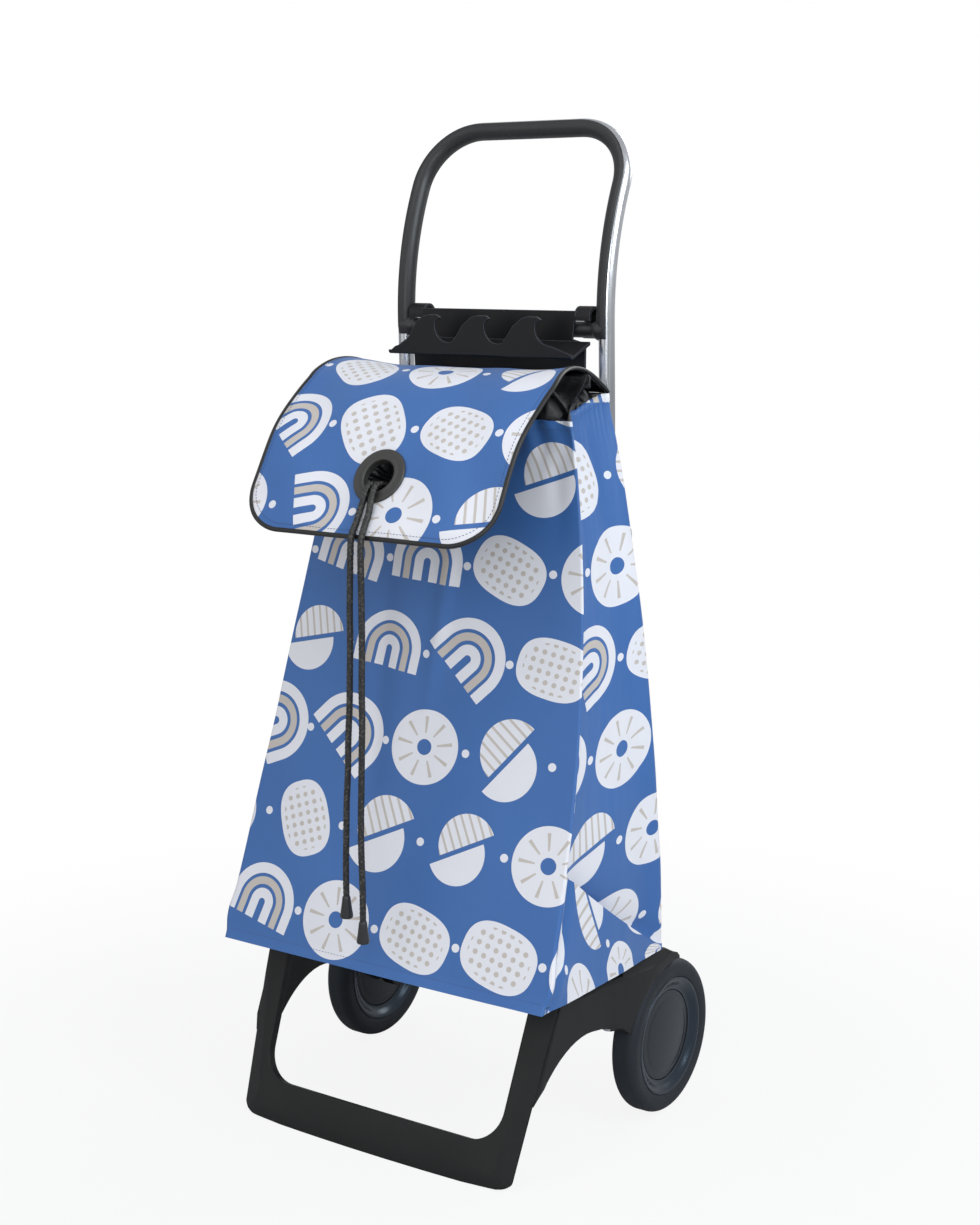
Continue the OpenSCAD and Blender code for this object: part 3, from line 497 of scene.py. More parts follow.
# the tyre: a small lip at the seam, a side that bulges by a large radius, and a rounded shoulder
shoulder, shoulder_r, bulge = WHEEL_R - 0.009, 0.009, 0.0323
tyre = both_sides(np.concatenate([
    quarter(SEAM_R + 0.0012, -TYRE_HALF + 0.0024, 0.0011, 180, 252, 5),
    quarter(shoulder, -TYRE_HALF + bulge, bulge, -105, -90, 8),
    quarter(shoulder, -TYRE_HALF + shoulder_r, shoulder_r, -84, 0, 14)]))
# the hub: a small lip at the seam, a cove as half a cosine wave down to the disc's seat, the seat's step, the bore
t = np.linspace(0, 1, 22)
cove = columns(SEAM_R - 0.0018 - (SEAM_R - DISC_R - 0.0030) * t, DISC_EDGE + 0.0032 * (1 + np.cos(np.pi * t)))
hub = both_sides(np.concatenate([
    quarter(SEAM_R - 0.0011, HUB_HALF - 0.0011, 0.001, 0, 90, 6), cove,
    [[DISC_R + 0.0005, DISC_EDGE], [DISC_R + 0.0004, DISC_EDGE - 0.0024], [BUSH_R + 0.004, DISC_EDGE - 0.0036],
     [BUSH_R + 0.004, 0.0041], [BUSH_R, 0.0041]]]))


def disc(hole):
    """A domed disc's profile: its height over its rim falls with the square of the radius; a narrow step runs round
    it, and its outer edge is rounded."""
    r = np.linspace(hole, DISC_R - 0.0012, 24)
    top = DISC_EDGE - 0.0002 + DOME * (1 - (r / DISC_R) ** 2) - 0.0005 * np.exp(-((r - DISC_R * 0.86) / 0.0009) ** 2)
    rim = quarter(DISC_R - 0.0012, DISC_EDGE - 0.0012, 0.0012, 75, 0, 6)
    under = columns(r, top - DISC_T)[::-1]
    return np.concatenate([columns(r, top), rim, [[DISC_R, DISC_EDGE - DISC_T + 0.0004]], under])


for side, sign in (("left", -1), ("right", 1)):
    for piece, profile, out, sides, finish, slot in (
            ("tyre_", tyre, sign, 144, foam, "tyre_foam"), ("hub_", hub, sign, 128, gloss_hub, "hub_plastic"),
            ("outer_disc_", disc(0), sign, 128, gloss_disc, "disc_plastic"),
            ("inner_disc_", disc(NUT_R + 0.0005), -sign, 128, gloss_disc, "disc_plastic")):
        mesh = turned(profile, (sign * WHEEL_X, AXLE_Y, AXLE_Z), (out, 0, 0), sides)
        put(piece + side, mesh, "wheel_" + side, finish, slot, piece + side)

# ---- bag ----
# A bag of coated polyester, wide at the bottom and narrow at the mouth, sewn from a front, a back, two sides and a
# bottom. Its sides fold in, and near the bottom each has a triangle turned up as on a paper bag. The mouth is hemmed.
BAG_LOW, BAG_HIGH = 0.180, 0.742
BAG_TALL = BAG_HIGH - BAG_LOW
MOUTH_DROP, MOUTH_D = 0.022, 0.084
WALL = 0.0016
HEM = 0.0085            # from the mouth's edge down to the hem's stitches


def half_width(z):
    """Half the bag's width: at the bottom 197 mm, less 59 mm times the height's share to the power 1.9."""
    return 0.197 - 0.059 * ((z - BAG_LOW).clip(0) / BAG_TALL) ** 1.9


def back_y(z):
    """The bag's back, which leans with the legs, 11.5 mm behind their middle."""
    return AXLE_Y - 0.0115 - (z - AXLE_Z) * math.tan(LEAN)


MOUTH_FRONT = back_y(BAG_HIGH) - MOUTH_D
FRONT_TOP = BAG_HIGH - MOUTH_DROP


def front_y(z):
    """The bag's front: out from the mouth by 129 mm times the drop's share to the power 1.55."""
    return MOUTH_FRONT - 0.129 * ((FRONT_TOP - z).clip(0) / (FRONT_TOP - BAG_LOW)) ** 1.55


def lump(x, middle, width):
    """A soft hump of height 1: e to the minus square of the distance over the width."""
    return np.exp(-((x - middle) / width) ** 2)


def rise(x, low, high):
    """0 below low, 1 above high, and smooth between: 3 t squared less 2 t cubed."""
    t = ((x - low) / (high - low)).clip(0, 1)
    return t * t * (3 - 2 * t)


def between(x, a, b, c, d):
    """Rises from 0 to 1 between a and b and falls again between c and d."""
    return rise(x, a, b) * (1 - rise(x, c, d))


def crumple(a, b, seed, shortest, longest):
    """Unevenness of cloth: a sum of sine waves in many directions, each as high as it is long."""
    rng = np.random.default_rng(seed)
    waves = 14
    draws = [rng.uniform(low, high, waves) for low, high in ((0, np.pi), (shortest, longest), (0, 6.28))]
    total = sum(size * np.sin(2 * np.pi / size * (a * np.cos(way) + b * np.sin(way)) + start)
                for way, size, start in zip(*draws))
    return total / waves / longest


def outline(front, side, corner, back):
    """The bag's plan as columns (cx, cy, nx, ny) from the middle of the back all the way round: cx, cy say which
    corner or side of the rectangle, from -1 to 1, and nx, ny the way out."""
    def run(x0, y0, x1, y1, steps):
        f = (np.arange(steps) + 0.5) / steps
        n = (-1.0 if x0 == x1 == -1 else 1.0 if x0 == x1 else 0.0, 0.0 if x0 == x1 else y0)
        return columns(x0 + (x1 - x0) * f, y0 + (y1 - y0) * f, *n)

    def bend(cx, cy, a0):
        a = np.radians(a0 + np.linspace(0, 90, corner))
        return columns(cx, cy, np.cos(a), np.sin(a))
    return np.concatenate([
        run(0, 1, -1, 1, back), bend(-1, 1, 90), run(-1, 1, -1, -1, side), bend(-1, -1, 180),
        run(-1, -1, 1, -1, front), bend(1, -1, 270), run(1, -1, 1, 1, side), bend(1, 1, 0), run(1, 1, 0, 1, back)]).T


def fold_z(share):
    """Height of the turned-up triangle's edge at a share of the bag's depth: straight, from 123 mm up at the front
    to 5 mm at the back."""
    return BAG_LOW + 0.005 + 0.118 * (1 - share)


def mouth_z(share):
    """Height of the mouth at a share of the bag's depth."""
    return BAG_HIGH - MOUTH_DROP * (1 - share)


def bag_at(z, over_fold, plan, inset=0.0):
    """The bag's wall at heights z (rows, columns) over the plan's columns: a rectangle with small round corners,
    moved along its way out by the folds, the hem, the sag of each panel and the crumple of the cloth. over_fold is 1
    above the turned-up triangle and 0 on it."""
    cx, cy, nx, ny = plan
    share = (cy + 1) / 2
    r = 0.0035 + 0.006 * share - inset * 0.3
    w, yf, yb = half_width(z) - inset, front_y(z) + inset, back_y(z) - inset
    x = cx * (w - r) + nx * r
    y = (yf + yb) / 2 + cy * ((yb - yf) / 2 - r) + ny * r
    side, front, back = nx ** 2, (-ny).clip(0) ** 2, ny.clip(0) ** 2
    s = ((y - yf) / (yb - yf)).clip(0, 1)
    high = ((z - BAG_LOW) / BAG_TALL).clip(0, 1)
    past_mouth = z - mouth_z(share)
    # each side: set in from its seams, pleated at the mouth, deepest in its middle, tucked in over the triangle
    set_in = 0.0065 * rise(y - yf, 0.0005, 0.008) * rise(yb - y, 0.0, 0.03)
    pleat = 0.013 * lump(s, 0.21, 0.12) * rise(past_mouth, -0.12, 0.0)
    deep = (0.0035 + 0.006 * high ** 1.5) * np.sin(np.pi * s ** 0.85) ** 0.8
    tuck = 0.012 * np.exp(-(z - fold_z(share)).clip(0) / 0.017) * between(s, 0.02, 0.30, 0.88, 1.0)
    out = -side * over_fold * (set_in + pleat + deep + tuck)
    out -= side * 0.0045 * rise(z, 0.66, BAG_HIGH) * rise(s, 0.5, 1.0)
    out += side * (1 - over_fold) * (0.001 * np.sin(np.pi * s) - 0.0035 * lump(y - yf, 0.010, 0.0045))
    out += side * (0.004 * lump(z, 0.206, 0.018) - 0.003 * lump(z, BAG_LOW, 0.008)) * (1 - rise(s, 0.0, 0.2))
    # the front: bellied, with a ridge and a hollow slanting down it, and hollow beside the mouth; the back: hollow
    out += front * (1 - cx ** 2) * (0.004 * np.sin(np.pi * high) + 0.0015)
    out += front * 0.0026 * lump(x, 0.012 + 0.02 * (high - 0.6), 0.009) * between(high, 0.35, 0.6, 0.9, 1.0)
    out -= front * 0.0030 * lump(x, -0.055 - 0.05 * (high - 0.5), 0.016) * between(high, 0.1, 0.4, 0.7, 0.95)
    out -= front * 0.003 * lump(np.abs(cx), 0.86, 0.06) * rise(high, 0.70, 0.95)
    out -= back * 0.004 * (1 - cx ** 2) * np.sin(np.pi * high)
    # the cloth: crumpled all over, and puckered towards the mouth
    a = np.cumsum(np.r_[0, np.hypot(np.diff(cx), np.diff(cy))]) * 0.19 + 0 * z
    folds = 0.0026 * crumple(a, z, 5, 0.05, 0.24) + 0.0009 * crumple(a, z * 0.4, 8, 0.02, 0.06)
    out += folds * (0.45 + 0.55 * side)
    pucker = np.sin(2 * np.pi * (a / 0.041 + 1.5 * crumple(a, z, 3, 0.1, 0.2)))
    out += 0.0028 * pucker * rise(past_mouth, -0.06, 0.0) * (0.3 + 0.7 * front)
    # the hem, drawn in by its stitches, and the bound seam under the front
    out += 0.0009 * rise(past_mouth, -0.0105, -0.009) - 0.0006 * lump(past_mouth, -HEM, 0.0007)
    out += 0.0016 * rise(-z, -(BAG_LOW + 0.007), -(BAG_LOW + 0.004)) * front
    out = np.maximum(out, -0.0022 - 0.5 * (z - BAG_LOW - 0.0035).clip(0))
    return columns(x + nx * out, y + ny * out, z)


PLAN = outline(96, 38, 6, 24)
CX, CY, NX, NY = PLAN
SHARE = (CY + 1) / 2
LOWER, UPPER = 26, 96
lowest = BAG_LOW + 0.0004
low_rows = lowest + (fold_z(SHARE) - lowest) * np.linspace(0, 1, LOWER)[:, None]
behind = fold_z(SHARE) + 0.0006 - 0.0080 * NX ** 2 * between(SHARE, 0.03, 0.15, 0.9, 1.0)
behind = np.maximum(behind, BAG_LOW + 0.002)
high_rows = behind + (mouth_z(SHARE) - behind) * np.linspace(0, 1, UPPER)[:, None] ** 0.97
wall = np.concatenate([bag_at(low_rows, 0.0, PLAN), bag_at(high_rows, 1.0, PLAN)])
rim = wall[0]
centre = rim.mean(0)
shrink = np.array([0, 0.12, 0.25, 0.4, 0.55, 0.7, 0.85, 0.95, 0.985])[:, None, None]
bottom = centre + (rim - centre) * shrink
bottom[..., 2] = BAG_LOW + 0.0002
shell = np.concatenate([bottom, wall])
# where the cloth was cut: across, metres along the wall from the front's middle, each side moved on so that its print
# doesn't run over the seam, and on the back straight from x; up, metres up the wall, turned over on the triangle
closed = np.concatenate([shell, shell[:, :1]], 1)
along = np.cumsum(np.linalg.norm(np.diff(closed[..., :2], axis=1), axis=-1), 1)
across = np.concatenate([np.zeros((len(shell), 1)), along], 1)
across -= across[:, len(CX) // 2:len(CX) // 2 + 1]
across += 0.037 * np.r_[np.sign(CX) * (CY > -0.999), 1] - 0.013
on_back = np.r_[NY > 0.99, True]
across[:, on_back] = 0.63 - closed[:, on_back, 0]
up = np.concatenate([BAG_LOW - 0.23 * (1 - shrink[:, :, 0]) + 0 * CX, wall[..., 2] * 1.03])
triangle = np.abs(CY) < 0.999
up[len(bottom):len(bottom) + LOWER, triangle] = (2.06 * fold_z(SHARE) - 1.03 * low_rows + 0.031)[:, triangle]
up = np.concatenate([up, up[:, :1]], 1)
bag_mesh = skin(shell, columns(across, up), sharp=60)

CELL = 0.098            # width of one cell of the print
THREAD = 0.0009         # width of one wave of the weave
TURN = 6.283            # one turn in radians


def printed(name):
    """Coated polyester, mid-blue, with a print of arches, half-moons, dotted pebbles and spoked rounds in off-white
    and beige. The cloth is divided in staggered cells; each holds one motif, turned and sized by a random number,
    and a motif is where its distances from its own middle lie between its limits."""
    material, tree, shader = paint(name, Sheen_Weight=0.12, Sheen_Roughness=0.35, Specular_IOR_Level=0.45)
    cut = add(tree, "ShaderNodeSeparateXYZ", {"Vector": add(tree, "ShaderNodeUVMap", {}).outputs[0]}).outputs
    u, v = Field(tree, cut[0]), Field(tree, cut[1])
    row_at = v / (CELL * 0.93)
    row = row_at.by("FLOOR")
    col_at = u / CELL + row.by("FLOORED_MODULO", 2) * 0.5 + row * 0.13
    col = col_at.by("FLOOR")
    x, y = col_at - col - 0.5, row_at - row - 0.5
    cell = add(tree, "ShaderNodeCombineXYZ", {"X": col, "Y": row}).outputs[0]
    chance = add(tree, "ShaderNodeTexWhiteNoise", {"Vector": cell}, noise_dimensions="2D").outputs
    three = add(tree, "ShaderNodeSeparateXYZ", {"Vector": chance["Color"]}).outputs
    kind, angle = Field(tree, chance["Value"]) * 4, Field(tree, three[0]) * TURN
    size = Field(tree, three[1]) * 0.13 + 0.99
    cos, sin = angle.by("COSINE"), angle.by("SINE")
    px, py = (x * cos - y * sin) / size, (x * sin + y * cos) / size

    def far(a, b):
        return (a * a + b * b).by("SQRT")

    def ring(r, inner, outer):
        return r.over(inner) * r.under(outer)

    def of_kind(n):
        return kind.over(n) * kind.under(n + 1)

    r = far(px, py)
    bowl = far(px, py.by("MAXIMUM", 0))
    legs = py.over(-0.2)
    arch_white = (ring(bowl, 0.30, 0.41) + ring(bowl, 0.04, 0.145)) * legs
    arch_beige = ring(bowl, 0.185, 0.265) * legs
    moon_up = far(px - 0.07, py - 0.025).under(0.33) * (py - 0.025).over(0)
    moon_down = far(px + 0.07, py + 0.025).under(0.33) * (py + 0.025).under(0)
    stripes = (px * 11).by("FRACT").over(0.72)
    pebble = (px.by("ABSOLUTE") / 0.41).by("POWER", 2.6) + (py.by("ABSOLUTE") / 0.31).by("POWER", 2.6)
    dots = far((px * 10).by("FRACT") - 0.5, (py * 10).by("FRACT") - 0.5).under(0.27) * pebble.under(0.62)
    nine = (py.by("ARCTAN2", px) * (9 / TURN)).by("FRACT") - 0.5
    spokes = nine.by("ABSOLUTE").under(0.085) * ring(r, 0.15, 0.33)
    round_white = ring(r, 0.085, 0.40)
    seed_dots = far(x.by("ABSOLUTE") - 0.5, y).under(0.045)
    white = arch_white * of_kind(0) + (moon_up + moon_down) * of_kind(1) + pebble.under(1) * of_kind(2) \
        + round_white * of_kind(3) + seed_dots
    beige = arch_beige * of_kind(0) + moon_down * stripes * of_kind(1) + dots * of_kind(2) + spokes * of_kind(3)
    blue = tint(tree, noise(tree, 7, 3), shade(52, 96, 158), shade(62, 110, 174))
    ground = tint(tree, white.held(), blue, shade(226, 226, 232))
    wire(tree, shader.inputs["Base Color"], tint(tree, beige.held(), ground, shade(194, 186, 179)))
    roughen(tree, shader, 40, 3, 0.40, 0.52)
    threads = (u * (TURN / THREAD)).by("SINE") * (v * (TURN / THREAD)).by("SINE")
    relief(tree, shader, threads * 0.5 + noise(tree, 22, 3) * 12, 0.00005, 0.8)
    return material


def cloth(name, colour, light, rough, sheen, crease, specular=0.5):
    """A plain black or dark cloth: crossing threads, a shade of unevenness, and a crumple."""
    material, tree, shader = paint(name, Sheen_Weight=sheen, Specular_IOR_Level=specular)
    mottle(tree, shader, 60, 3, colour, light)
    roughen(tree, shader, 45, 3, rough - 0.06, rough + 0.08)
    x, y, z = (Field(tree, part) for part in add(tree, "ShaderNodeSeparateXYZ", {"Vector": place(tree)}).outputs)
    weave = (z * 7000).by("SINE") * (x * 7000 + y * 5200).by("SINE")
    relief(tree, shader, weave * 0.06 + noise(tree, 55, 4), crease, 0.7)
    return material


print_cloth = printed("printed_cloth")
lining = cloth("black_lining", shade(11, 11, 13), shade(20, 20, 23), 0.26, 0.0, crease=0.0010, specular=0.6)


def thick(obj, wall, inside=None, offset=-1):
    """Gives a cloth surface its thickness, inwards from its face; the far face may be of another cloth."""
    solid = obj.modifiers.new("thickness", "SOLIDIFY")
    solid.thickness, solid.offset, solid.use_even_offset = wall, offset, False
    if inside:
        obj.data.materials.append(inside)
        solid.material_offset = 1
    return obj


thick(put("bag", bag_mesh, "chassis", print_cloth, "printed_cloth", "bag_body"), WALL, lining)


def stitches(path, out, pitch=0.0038, long=0.0026, radius=0.00032):
    """A row of sewn stitches along a path: every pitch one six-sided thread, its radius a half wave along its
    length, half sunk in the cloth that out points away from."""
    far = distances(path)
    at = np.arange(pitch / 2, far[-1], pitch)[:, None] + np.linspace(-0.5, 0.5, 5) * long
    line, face = (columns(*(np.interp(at, far, of[:, i]) for i in range(3))) for of in (path, out))
    face = unit(face)
    side = unit(np.cross(unit(line[:, -1:] - line[:, :1]), face))
    swell = radius * np.array([0.15, 0.8, 1.0, 0.8, 0.15])[None, :, None, None]
    ring = circle(1, 6)
    thread = swell * (ring[:, :1] * face[:, :, None] + ring[:, 1:] * side[:, :, None])
    return skin(line[:, :, None] + face[:, :, None] * radius * 0.3 + thread)


blue_thread, tree, shader = paint("blue_thread", Roughness=0.6)
mottle(tree, shader, 400, 2, shade(46, 66, 116), shade(74, 92, 132))
ways_out = columns(NX, NY, 0)
line = bag_at(mouth_z(SHARE)[None] - HEM, 1.0, PLAN)[0]
put("hem_stitches", stitches(line, ways_out), "chassis", blue_thread, "printed_cloth")
line = bag_at(np.full((1, len(CX)), BAG_LOW + 0.0095), 0.0, PLAN)[0]
front = (CY < -0.999) & (np.abs(CX) < 0.99)
put("seam_stitches", stitches(line[front], ways_out[front]), "chassis", blue_thread, "printed_cloth")

# ---- base board, rivets, tube loops ----
# A black board stiffens the bag's bottom. Four black rivets hold the back of the mouth on the rack's panel,
# and a nylon loop sewn on each side of the back holds it in to the tube.
dress("bag_base_board", moulding("black_board", shade(30, 30, 31), 0.7, grain=500, depth=0.0001))
put_rounded("bag_rivets", moulding("rivet_plastic", shade(28, 28, 30), 0.4), "rivet_plastic", 0.0004)

# one band, as (out, back) from the leg's middle: a tail on the bag's back, once round the tube, and a tail again
BAG_AT = -0.0112
a = np.radians(np.linspace(-58, 238, 48))
around = (TUBE_R + 0.0014) * columns(np.cos(a), np.sin(a))
(x0, y0), (x1, y1) = around[0], around[-1]
tail_out = columns(np.linspace(0.033, x0 + 0.002, 12), np.linspace(BAG_AT, y0 - 0.0012, 12) + 0.0004)
tail_in = columns(np.linspace(x1 - 0.001, -0.0178, 8), np.linspace(y1 - 0.001, BAG_AT, 8) + 0.0003)
line = np.concatenate([tail_out, around, tail_in])
tall = np.linspace(0.5525, 0.6095, 20)[:, None]
flare = 0.0007 * np.sin(np.linspace(0, 3 * np.pi, 20))[:, None]
for side, sign in (("left", -1), ("right", 1)):
    points = columns(sign * (LEG_X + line[:, 0] * (1 + flare * 20)), line[:, 1] + flare, tall - AXLE_Z)
    mesh = skin(upright(points), wrap=(False, False), sharp=60)
    thick(put("tube_loop_" + side, mesh, "chassis", lining, "black_lining", "tube_loop_" + side), 0.0011, offset=1)

# ---- collar ----
# A skirt of thin black nylon sewn inside the hem and gathered by the drawcord, so that it leans in over the mouth in
# many small folds. It stays under the flap, whose curve is given here: its heading at distances from the sewn edge.
FLAP_W, FLAP_L, FLAP_R = 0.288, 0.3085, 0.045
STEP = 0.00025
steps = np.linspace(0, 0.316, 1265)
HEADING = np.radians(np.interp(steps, [0, 0.065, 0.129, 0.2185, 0.2955, 0.3115, 0.316],
                               [42.8, 4, -30, -57, -57, -75, -77]))
FLAP_Y = back_y(BAG_HIGH) - 0.001 - np.r_[0, np.cumsum(np.cos(HEADING[:-1]))] * STEP
FLAP_Z = BAG_HIGH + 0.0013 + np.r_[0, np.cumsum(np.sin(HEADING[:-1]))] * STEP


def crest_sag(x, s):
    """How far the flap lies off its curve at its crest: 4.5 mm under it in the middle, 1 mm over it at the edges."""
    return lump(s, 0.075, 0.045) * rise(s, 0.0, 0.02) * (0.0055 * (x / (FLAP_W / 2)) ** 2 - 0.0045)


def under_flap(x, y):
    """The height just under the flap at a place: its curve's, less the crest's sag, its waves and its thickness."""
    s = np.interp(-y, -FLAP_Y, steps)
    return np.interp(s, steps, FLAP_Z) + crest_sag(x, s) - 0.0014 * rise(s, 0.0, 0.03) - 0.0020


nylon_cloth = cloth("black_nylon", shade(11, 11, 12), shade(21, 21, 24), 0.24, 0.0, crease=0.0016, specular=0.7)
GATHERS = outline(150, 70, 8, 40)
cx, cy, nx, ny = GATHERS
plan_a = np.cumsum(np.r_[0, np.hypot(np.diff(cx), np.diff(cy))])
plan_a /= plan_a[-1]
phase = 2 * np.pi * 22 * plan_a + 1.6 * np.sin(2 * np.pi * 5 * plan_a + 1) + 1.2 * np.sin(2 * np.pi * 9 * plan_a + 2)
hem_z = mouth_z((cy + 1) / 2)
low = bag_at(hem_z - 0.020 * np.linspace(1, 0, 9)[:-1, None], 1.0, GATHERS, 0.0042)
start = bag_at(hem_z[None], 1.0, GATHERS, 0.0042)
roof = np.interp(-start[..., 1], -FLAP_Y, FLAP_Z) - 0.0085
climb = np.minimum(roof - hem_z, 0.046)
t = np.linspace(0, 1, 30)[:, None]
ease = rise(climb, -0.005, 0.02) * 0.85 + 0.15
in_at = 0.003 * t + (0.012 + 0.014 * (1 - cy) / 2) * t ** 1.5
wave = ease * (0.0010 + 0.0062 * t ** 0.8) * (np.sin(phase) + 0.35 * np.sin(2 * phase + 1)
                                              + 0.5 * np.sin(phase * 0.37 + 5 * t))
wave = wave + ease * 0.006 * t * crumple(plan_a * 0.72 + 0 * t, 0.05 * t + 0 * plan_a, 12, 0.015, 0.06)
rows = start - columns(nx * (in_at - wave), ny * (in_at - wave),
                       -(climb * t + ease * 0.0025 * t * np.cos(phase * 0.7)))
rows[..., 2] = np.minimum(rows[..., 2], under_flap(rows[..., 0], rows[..., 1]) - 0.0040)
edge = rows[-1]
inward = -columns(nx, ny, 0)
turns = np.linspace(0.25, 1, 6)[:, None, None] * np.pi
over = edge + inward * 0.003 * (1 - np.cos(turns)) + [0, 0, 0.003] * np.sin(turns)
tuck = edge + inward * 0.006 - np.array([0.004, 0.009])[:, None, None] * [0, 0, 1]
collar_mesh = skin(np.concatenate([low, rows, over, tuck]))
collar = thick(put("collar", collar_mesh, "chassis", nylon_cloth, "black_nylon", "bag_collar"), 0.0005)

# ---- flap ----
# One cut of the printed cloth, black lining under it and black piping round its edge, sewn to the back of the mouth.
# It comes up, over the collar and down the front; the cords come out of a large black eyelet near its free edge.
EYE_AT, EYE_X = 0.2470, 0.003
OVER_EDGE = 0.0015      # from the cloth's edge out to the piping's middle


def flap_at(x, s, lift):
    """A point of the flap: distance s along its curve from the sewn edge and x across, lifted off the curve; the
    crest sags in the middle, both long edges wave a little where nothing holds them, and towards the sewn edge the
    cloth is drawn in to the mouth's width and a little to the left."""
    y, z, a = (np.interp(s, steps, b) for b in (FLAP_Y, FLAP_Z, HEADING))
    x = x * (1 - 0.097 * (1 - s / 0.12).clip(0)) - 0.007 * np.sin(np.pi * (s / 0.13).clip(0, 1))
    free = rise(s, 0.12, 0.2)
    ripple = 0.0014 * np.sin(x * 38 + s * 21) + 0.0009 * np.sin(x * 71 - s * 44 + 1)
    lift = lift + crest_sag(x, s) + (1 - lump(x, EYE_X, 0.035)) * rise(s, 0.0, 0.03) * ripple * (0.6 + 0.4 * free)
    lift = lift + free * 0.0022 * (x / (FLAP_W / 2)) ** 2 * np.sin(s * 33 + 0.6)
    return columns(x, y + lift * np.sin(a), z + lift * np.cos(a))


def flap_half(s):
    """Half the flap's width at distance s: straight sides, then the quarter circle of the free corners."""
    into = (s - (FLAP_L - FLAP_R)).clip(0, FLAP_R)
    return FLAP_W / 2 - FLAP_R + np.sqrt((FLAP_R ** 2 - into ** 2).clip(0))


bend = np.linspace(0, np.pi / 2, 26)
s = np.r_[np.linspace(0, FLAP_L - FLAP_R, 96)[:-1], FLAP_L - FLAP_R * (1 - np.sin(bend))]
S, T = np.meshgrid(s, np.linspace(-1, 1, 111), indexing="ij")
X = T * flap_half(S)
hole = np.hypot(X - EYE_X, S - EYE_AT)
whole = (hole[:-1, :-1] + hole[1:, 1:] + hole[:-1, 1:] + hole[1:, :-1]) / 4 > 0.0185
cut = {"wrap": (False, False), "keep": whole, "facing": (0, -1, 1)}
top_mesh = skin(flap_at(X, S, 0.0010), columns(X + 0.37, 0.24 - S), **cut)
flap_cloth = thick(put("flap", top_mesh, None, print_cloth, "printed_cloth", "flap_root", "flap_panel"), 0.0014)
low_mesh = skin(flap_at(X * 0.993, S * 0.997 + 0.0005, -0.0011), **cut)
under = thick(put("flap_lining", low_mesh, None, lining, "black_lining", "flap_lining"), 0.0006)

# the edge from the sewn edge's right end down that side, round both free corners and up the left side
corner_x, corner_s, r = FLAP_W / 2 - FLAP_R, FLAP_L - FLAP_R, FLAP_R + OVER_EDGE
turn = np.linspace(0, np.pi / 2, 30)
edge_s = np.r_[np.linspace(0, corner_s, 90)[:-1], corner_s + r * np.sin(turn), np.full(39, corner_s + r)]
edge_x = np.r_[np.full(89, corner_x + r), corner_x + r * np.cos(turn), np.linspace(corner_x, 0, 40)[1:]]
edge_x, edge_s = np.r_[edge_x, -edge_x[-2::-1]], np.r_[edge_s, edge_s[-2::-1]]
edge_line = flap_at(edge_x, edge_s, 0.0)
edge_up = unit(flap_at(edge_x, edge_s, 0.001) - edge_line)


def drawn_in(by, lift):
    """The flap's edge drawn in by a distance: x in its share of the half width, s by it towards the free edge."""
    return flap_at(edge_x * (1 - by / (corner_x + r)), edge_s - by * rise(edge_s, corner_s, FLAP_L), lift)


piping_cloth = cloth("piping_cloth", shade(8, 8, 9), shade(18, 18, 20), 0.38, 0.05, crease=0.0004)
a = np.linspace(0, 2 * np.pi, 16, endpoint=False)
fold = columns(0.0019 * np.sin(a), 0.0025 * np.cos(a))
piping = put("flap_piping", skin(follow(edge_line, edge_up, fold)), None, piping_cloth, "piping_cloth", "flap_piping")
sewn = put("flap_stitches", stitches(drawn_in(0.0058, 0.00105), edge_up, 0.0036, 0.0024, 0.00036), None,
           blue_thread, "printed_cloth")
bound = put("piping_stitches", stitches(drawn_in(0.0010, 0.0017), edge_up, 0.0034, 0.0024, 0.0003), None,
            piping_cloth, "piping_cloth")
for obj in (flap_cloth, under, piping, sewn, bound):
    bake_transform(obj)

EYE = flap_at(np.array(EYE_X), np.array(EYE_AT), 0.0)
EYE_TILT = math.radians(-57)
EYE_OUT = (0, math.sin(EYE_TILT), math.cos(EYE_TILT))
eye_plastic = moulding("eyelet_plastic", shade(50, 49, 47), 0.45, grain=1600, depth=0.00002)
a = np.radians(np.linspace(0, 90, 8))
front_ring = np.concatenate([
    [[0.0165, -0.0036], [0.0165, 0.0021]], columns(0.0181 - 0.0016 * np.cos(a), 0.0024 + 0.0016 * np.sin(a)),
    [[0.0193, 0.0041], [0.0202, 0.0035], [0.0209, 0.0033], [0.0240, 0.0038], [0.0265, 0.0036]],
    columns(0.0268 + 0.0017 * np.sin(a), 0.0018 + 0.0018 * np.cos(a)),
    [[0.0283, 0.0012], [0.0185, 0.0012], [0.0185, -0.0036]]])
back_ring = [(0.0187, -0.0022), (0.0187, -0.0032), (0.0192, -0.0036), (0.0250, -0.0036), (0.0262, -0.0030),
             (0.0265, -0.0022)]
for name, ring, sides in (("eyelet_front", front_ring, 96), ("eyelet_back", back_ring, 72)):
    put(name, turned(ring, EYE, EYE_OUT, sides), "flap", eye_plastic, "eyelet_plastic", name)

# the gathered end of the collar behind the eyelet, and also painted shade: black cloth that keeps the view through
# the hole dark. It is a funnel that narrows inwards, in eleven folds
t, a = np.meshgrid(np.linspace(0, 1, 26), np.linspace(0, 2 * np.pi, 120, endpoint=False), indexing="ij")
wide = (0.0225 - 0.0150 * t ** 0.7) * (1 + 0.13 * np.sin(np.pi * t) ** 0.5 * np.sin(11 * a + 2 * t))
t, a, wide = t[..., None], a[..., None], wide[..., None]
aside, aslant = np.array([1.0, 0, 0]), np.cross(EYE_OUT, [1.0, 0, 0])
middle = EYE + np.array(EYE_OUT) * (-0.0045 - 0.034 * t) + np.array([0, 0, 0.010]) * t ** 2
funnel = skin(middle + wide * (np.cos(a) * aside + np.sin(a) * aslant))
# painted shade: dark cloth set behind the eyelet's hole, besides the collar's gathered end
end_and_shade = thick(put("collar_end_and_hole_shade", funnel, "flap", nylon_cloth, "black_nylon"), 0.0005)

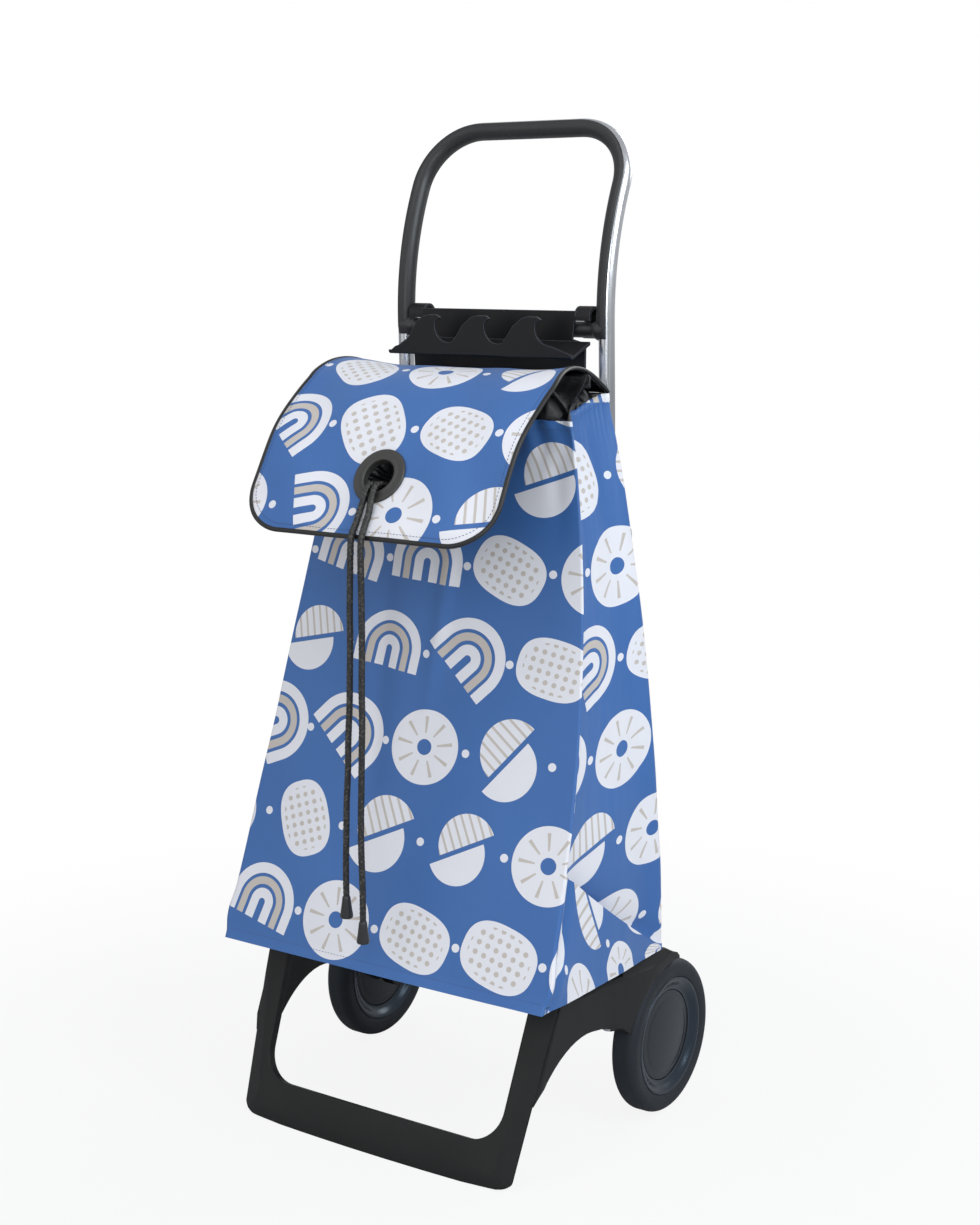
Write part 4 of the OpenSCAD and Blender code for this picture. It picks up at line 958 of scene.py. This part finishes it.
# ---- floor, light ----
# A pale floor that fades into a white surround. Five soft square lamps: the strongest from the right and above, and
# weaker ones from the left, the front, the top and the rear.
floor_mesh = turned([(0, 0), (4, 0), (14, 0)], (0, 0, -0.0005), (0, 0, 1), 96)
floor = bpy.data.objects.new("floor", floor_mesh)
scene.collection.objects.link(floor)
pale, tree, shader = paint("pale_floor", Roughness=0.9, Specular_IOR_Level=0.1)
mottle(tree, shader, 3, 3, (0.54, 0.54, 0.54, 1), (0.58, 0.58, 0.58, 1))
glow = add(tree, "ShaderNodeEmission", {"Color": (1, 1, 1, 1), "Strength": 1.0})
reach = add(tree, "ShaderNodeVectorMath", {0: place(tree)}, operation="LENGTH").outputs["Value"]
ends = {"From Min": 0.35, "From Max": 1.1, "To Min": 0.88, "To Max": 1.0}
fade = add(tree, "ShaderNodeMapRange", {"Value": reach, **ends}, interpolation_type="SMOOTHSTEP").outputs[0]
share = Field(tree, add(tree, "ShaderNodeLightPath", {}).outputs["Is Camera Ray"]) * Field(tree, fade)
mixed = add(tree, "ShaderNodeMixShader", {0: share, 1: shader.outputs[0], 2: glow.outputs[0]})
tree.links.new(mixed.outputs[0], tree.nodes["Material Output"].inputs[0])
floor_mesh.materials.append(pale)

world = bpy.data.worlds.new("studio")
scene.world = world
world.use_nodes = True
tree = world.node_tree
sky = tree.nodes["Background"]
seen = add(tree, "ShaderNodeLightPath", {}).outputs
plain = (Field(tree, seen["Is Camera Ray"]) + Field(tree, seen["Is Glossy Ray"]) * 0.25).held()
wire(tree, sky.inputs["Color"], tint(tree, plain, (0.80, 0.82, 0.86, 1), (1, 1, 1, 1)))
wire(tree, sky.inputs["Strength"], plain * 0.50 + 0.50)


def lamp(name, at, look, size, power, colour=(1, 1, 1)):
    """A soft square light at a place, turned to look at a point."""
    data = bpy.data.lights.new(name, "AREA")
    data.size, data.energy, data.color = size, power, colour
    obj = bpy.data.objects.new(name, data)
    obj.location = at
    way = np.array(look) - np.array(at)
    obj.rotation_euler = (math.acos(-way[2] / np.linalg.norm(way)), 0, math.atan2(way[1], way[0]) - math.pi / 2)
    scene.collection.objects.link(obj)


lamp("key", (2.6, -0.5, 2.4), (0, 0, 0.5), 2.0, 66, (0.88, 0.95, 1.0))
lamp("fill", (-1.4, -2.6, 1.5), (0, 0, 0.6), 2.4, 12, (1.0, 0.98, 0.95))
lamp("front", (0.8, -1.5, 1.1), (0, -0.15, 0.75), 0.8, 6.5, (0.93, 0.97, 1.0))
lamp("top", (-0.2, -1.2, 2.6), (0, -0.1, 0.8), 1.2, 8)
lamp("rear", (0.6, 2.6, 2.0), (0, 0, 0.6), 1.8, 30)
scene.view_settings.view_transform = "Standard"
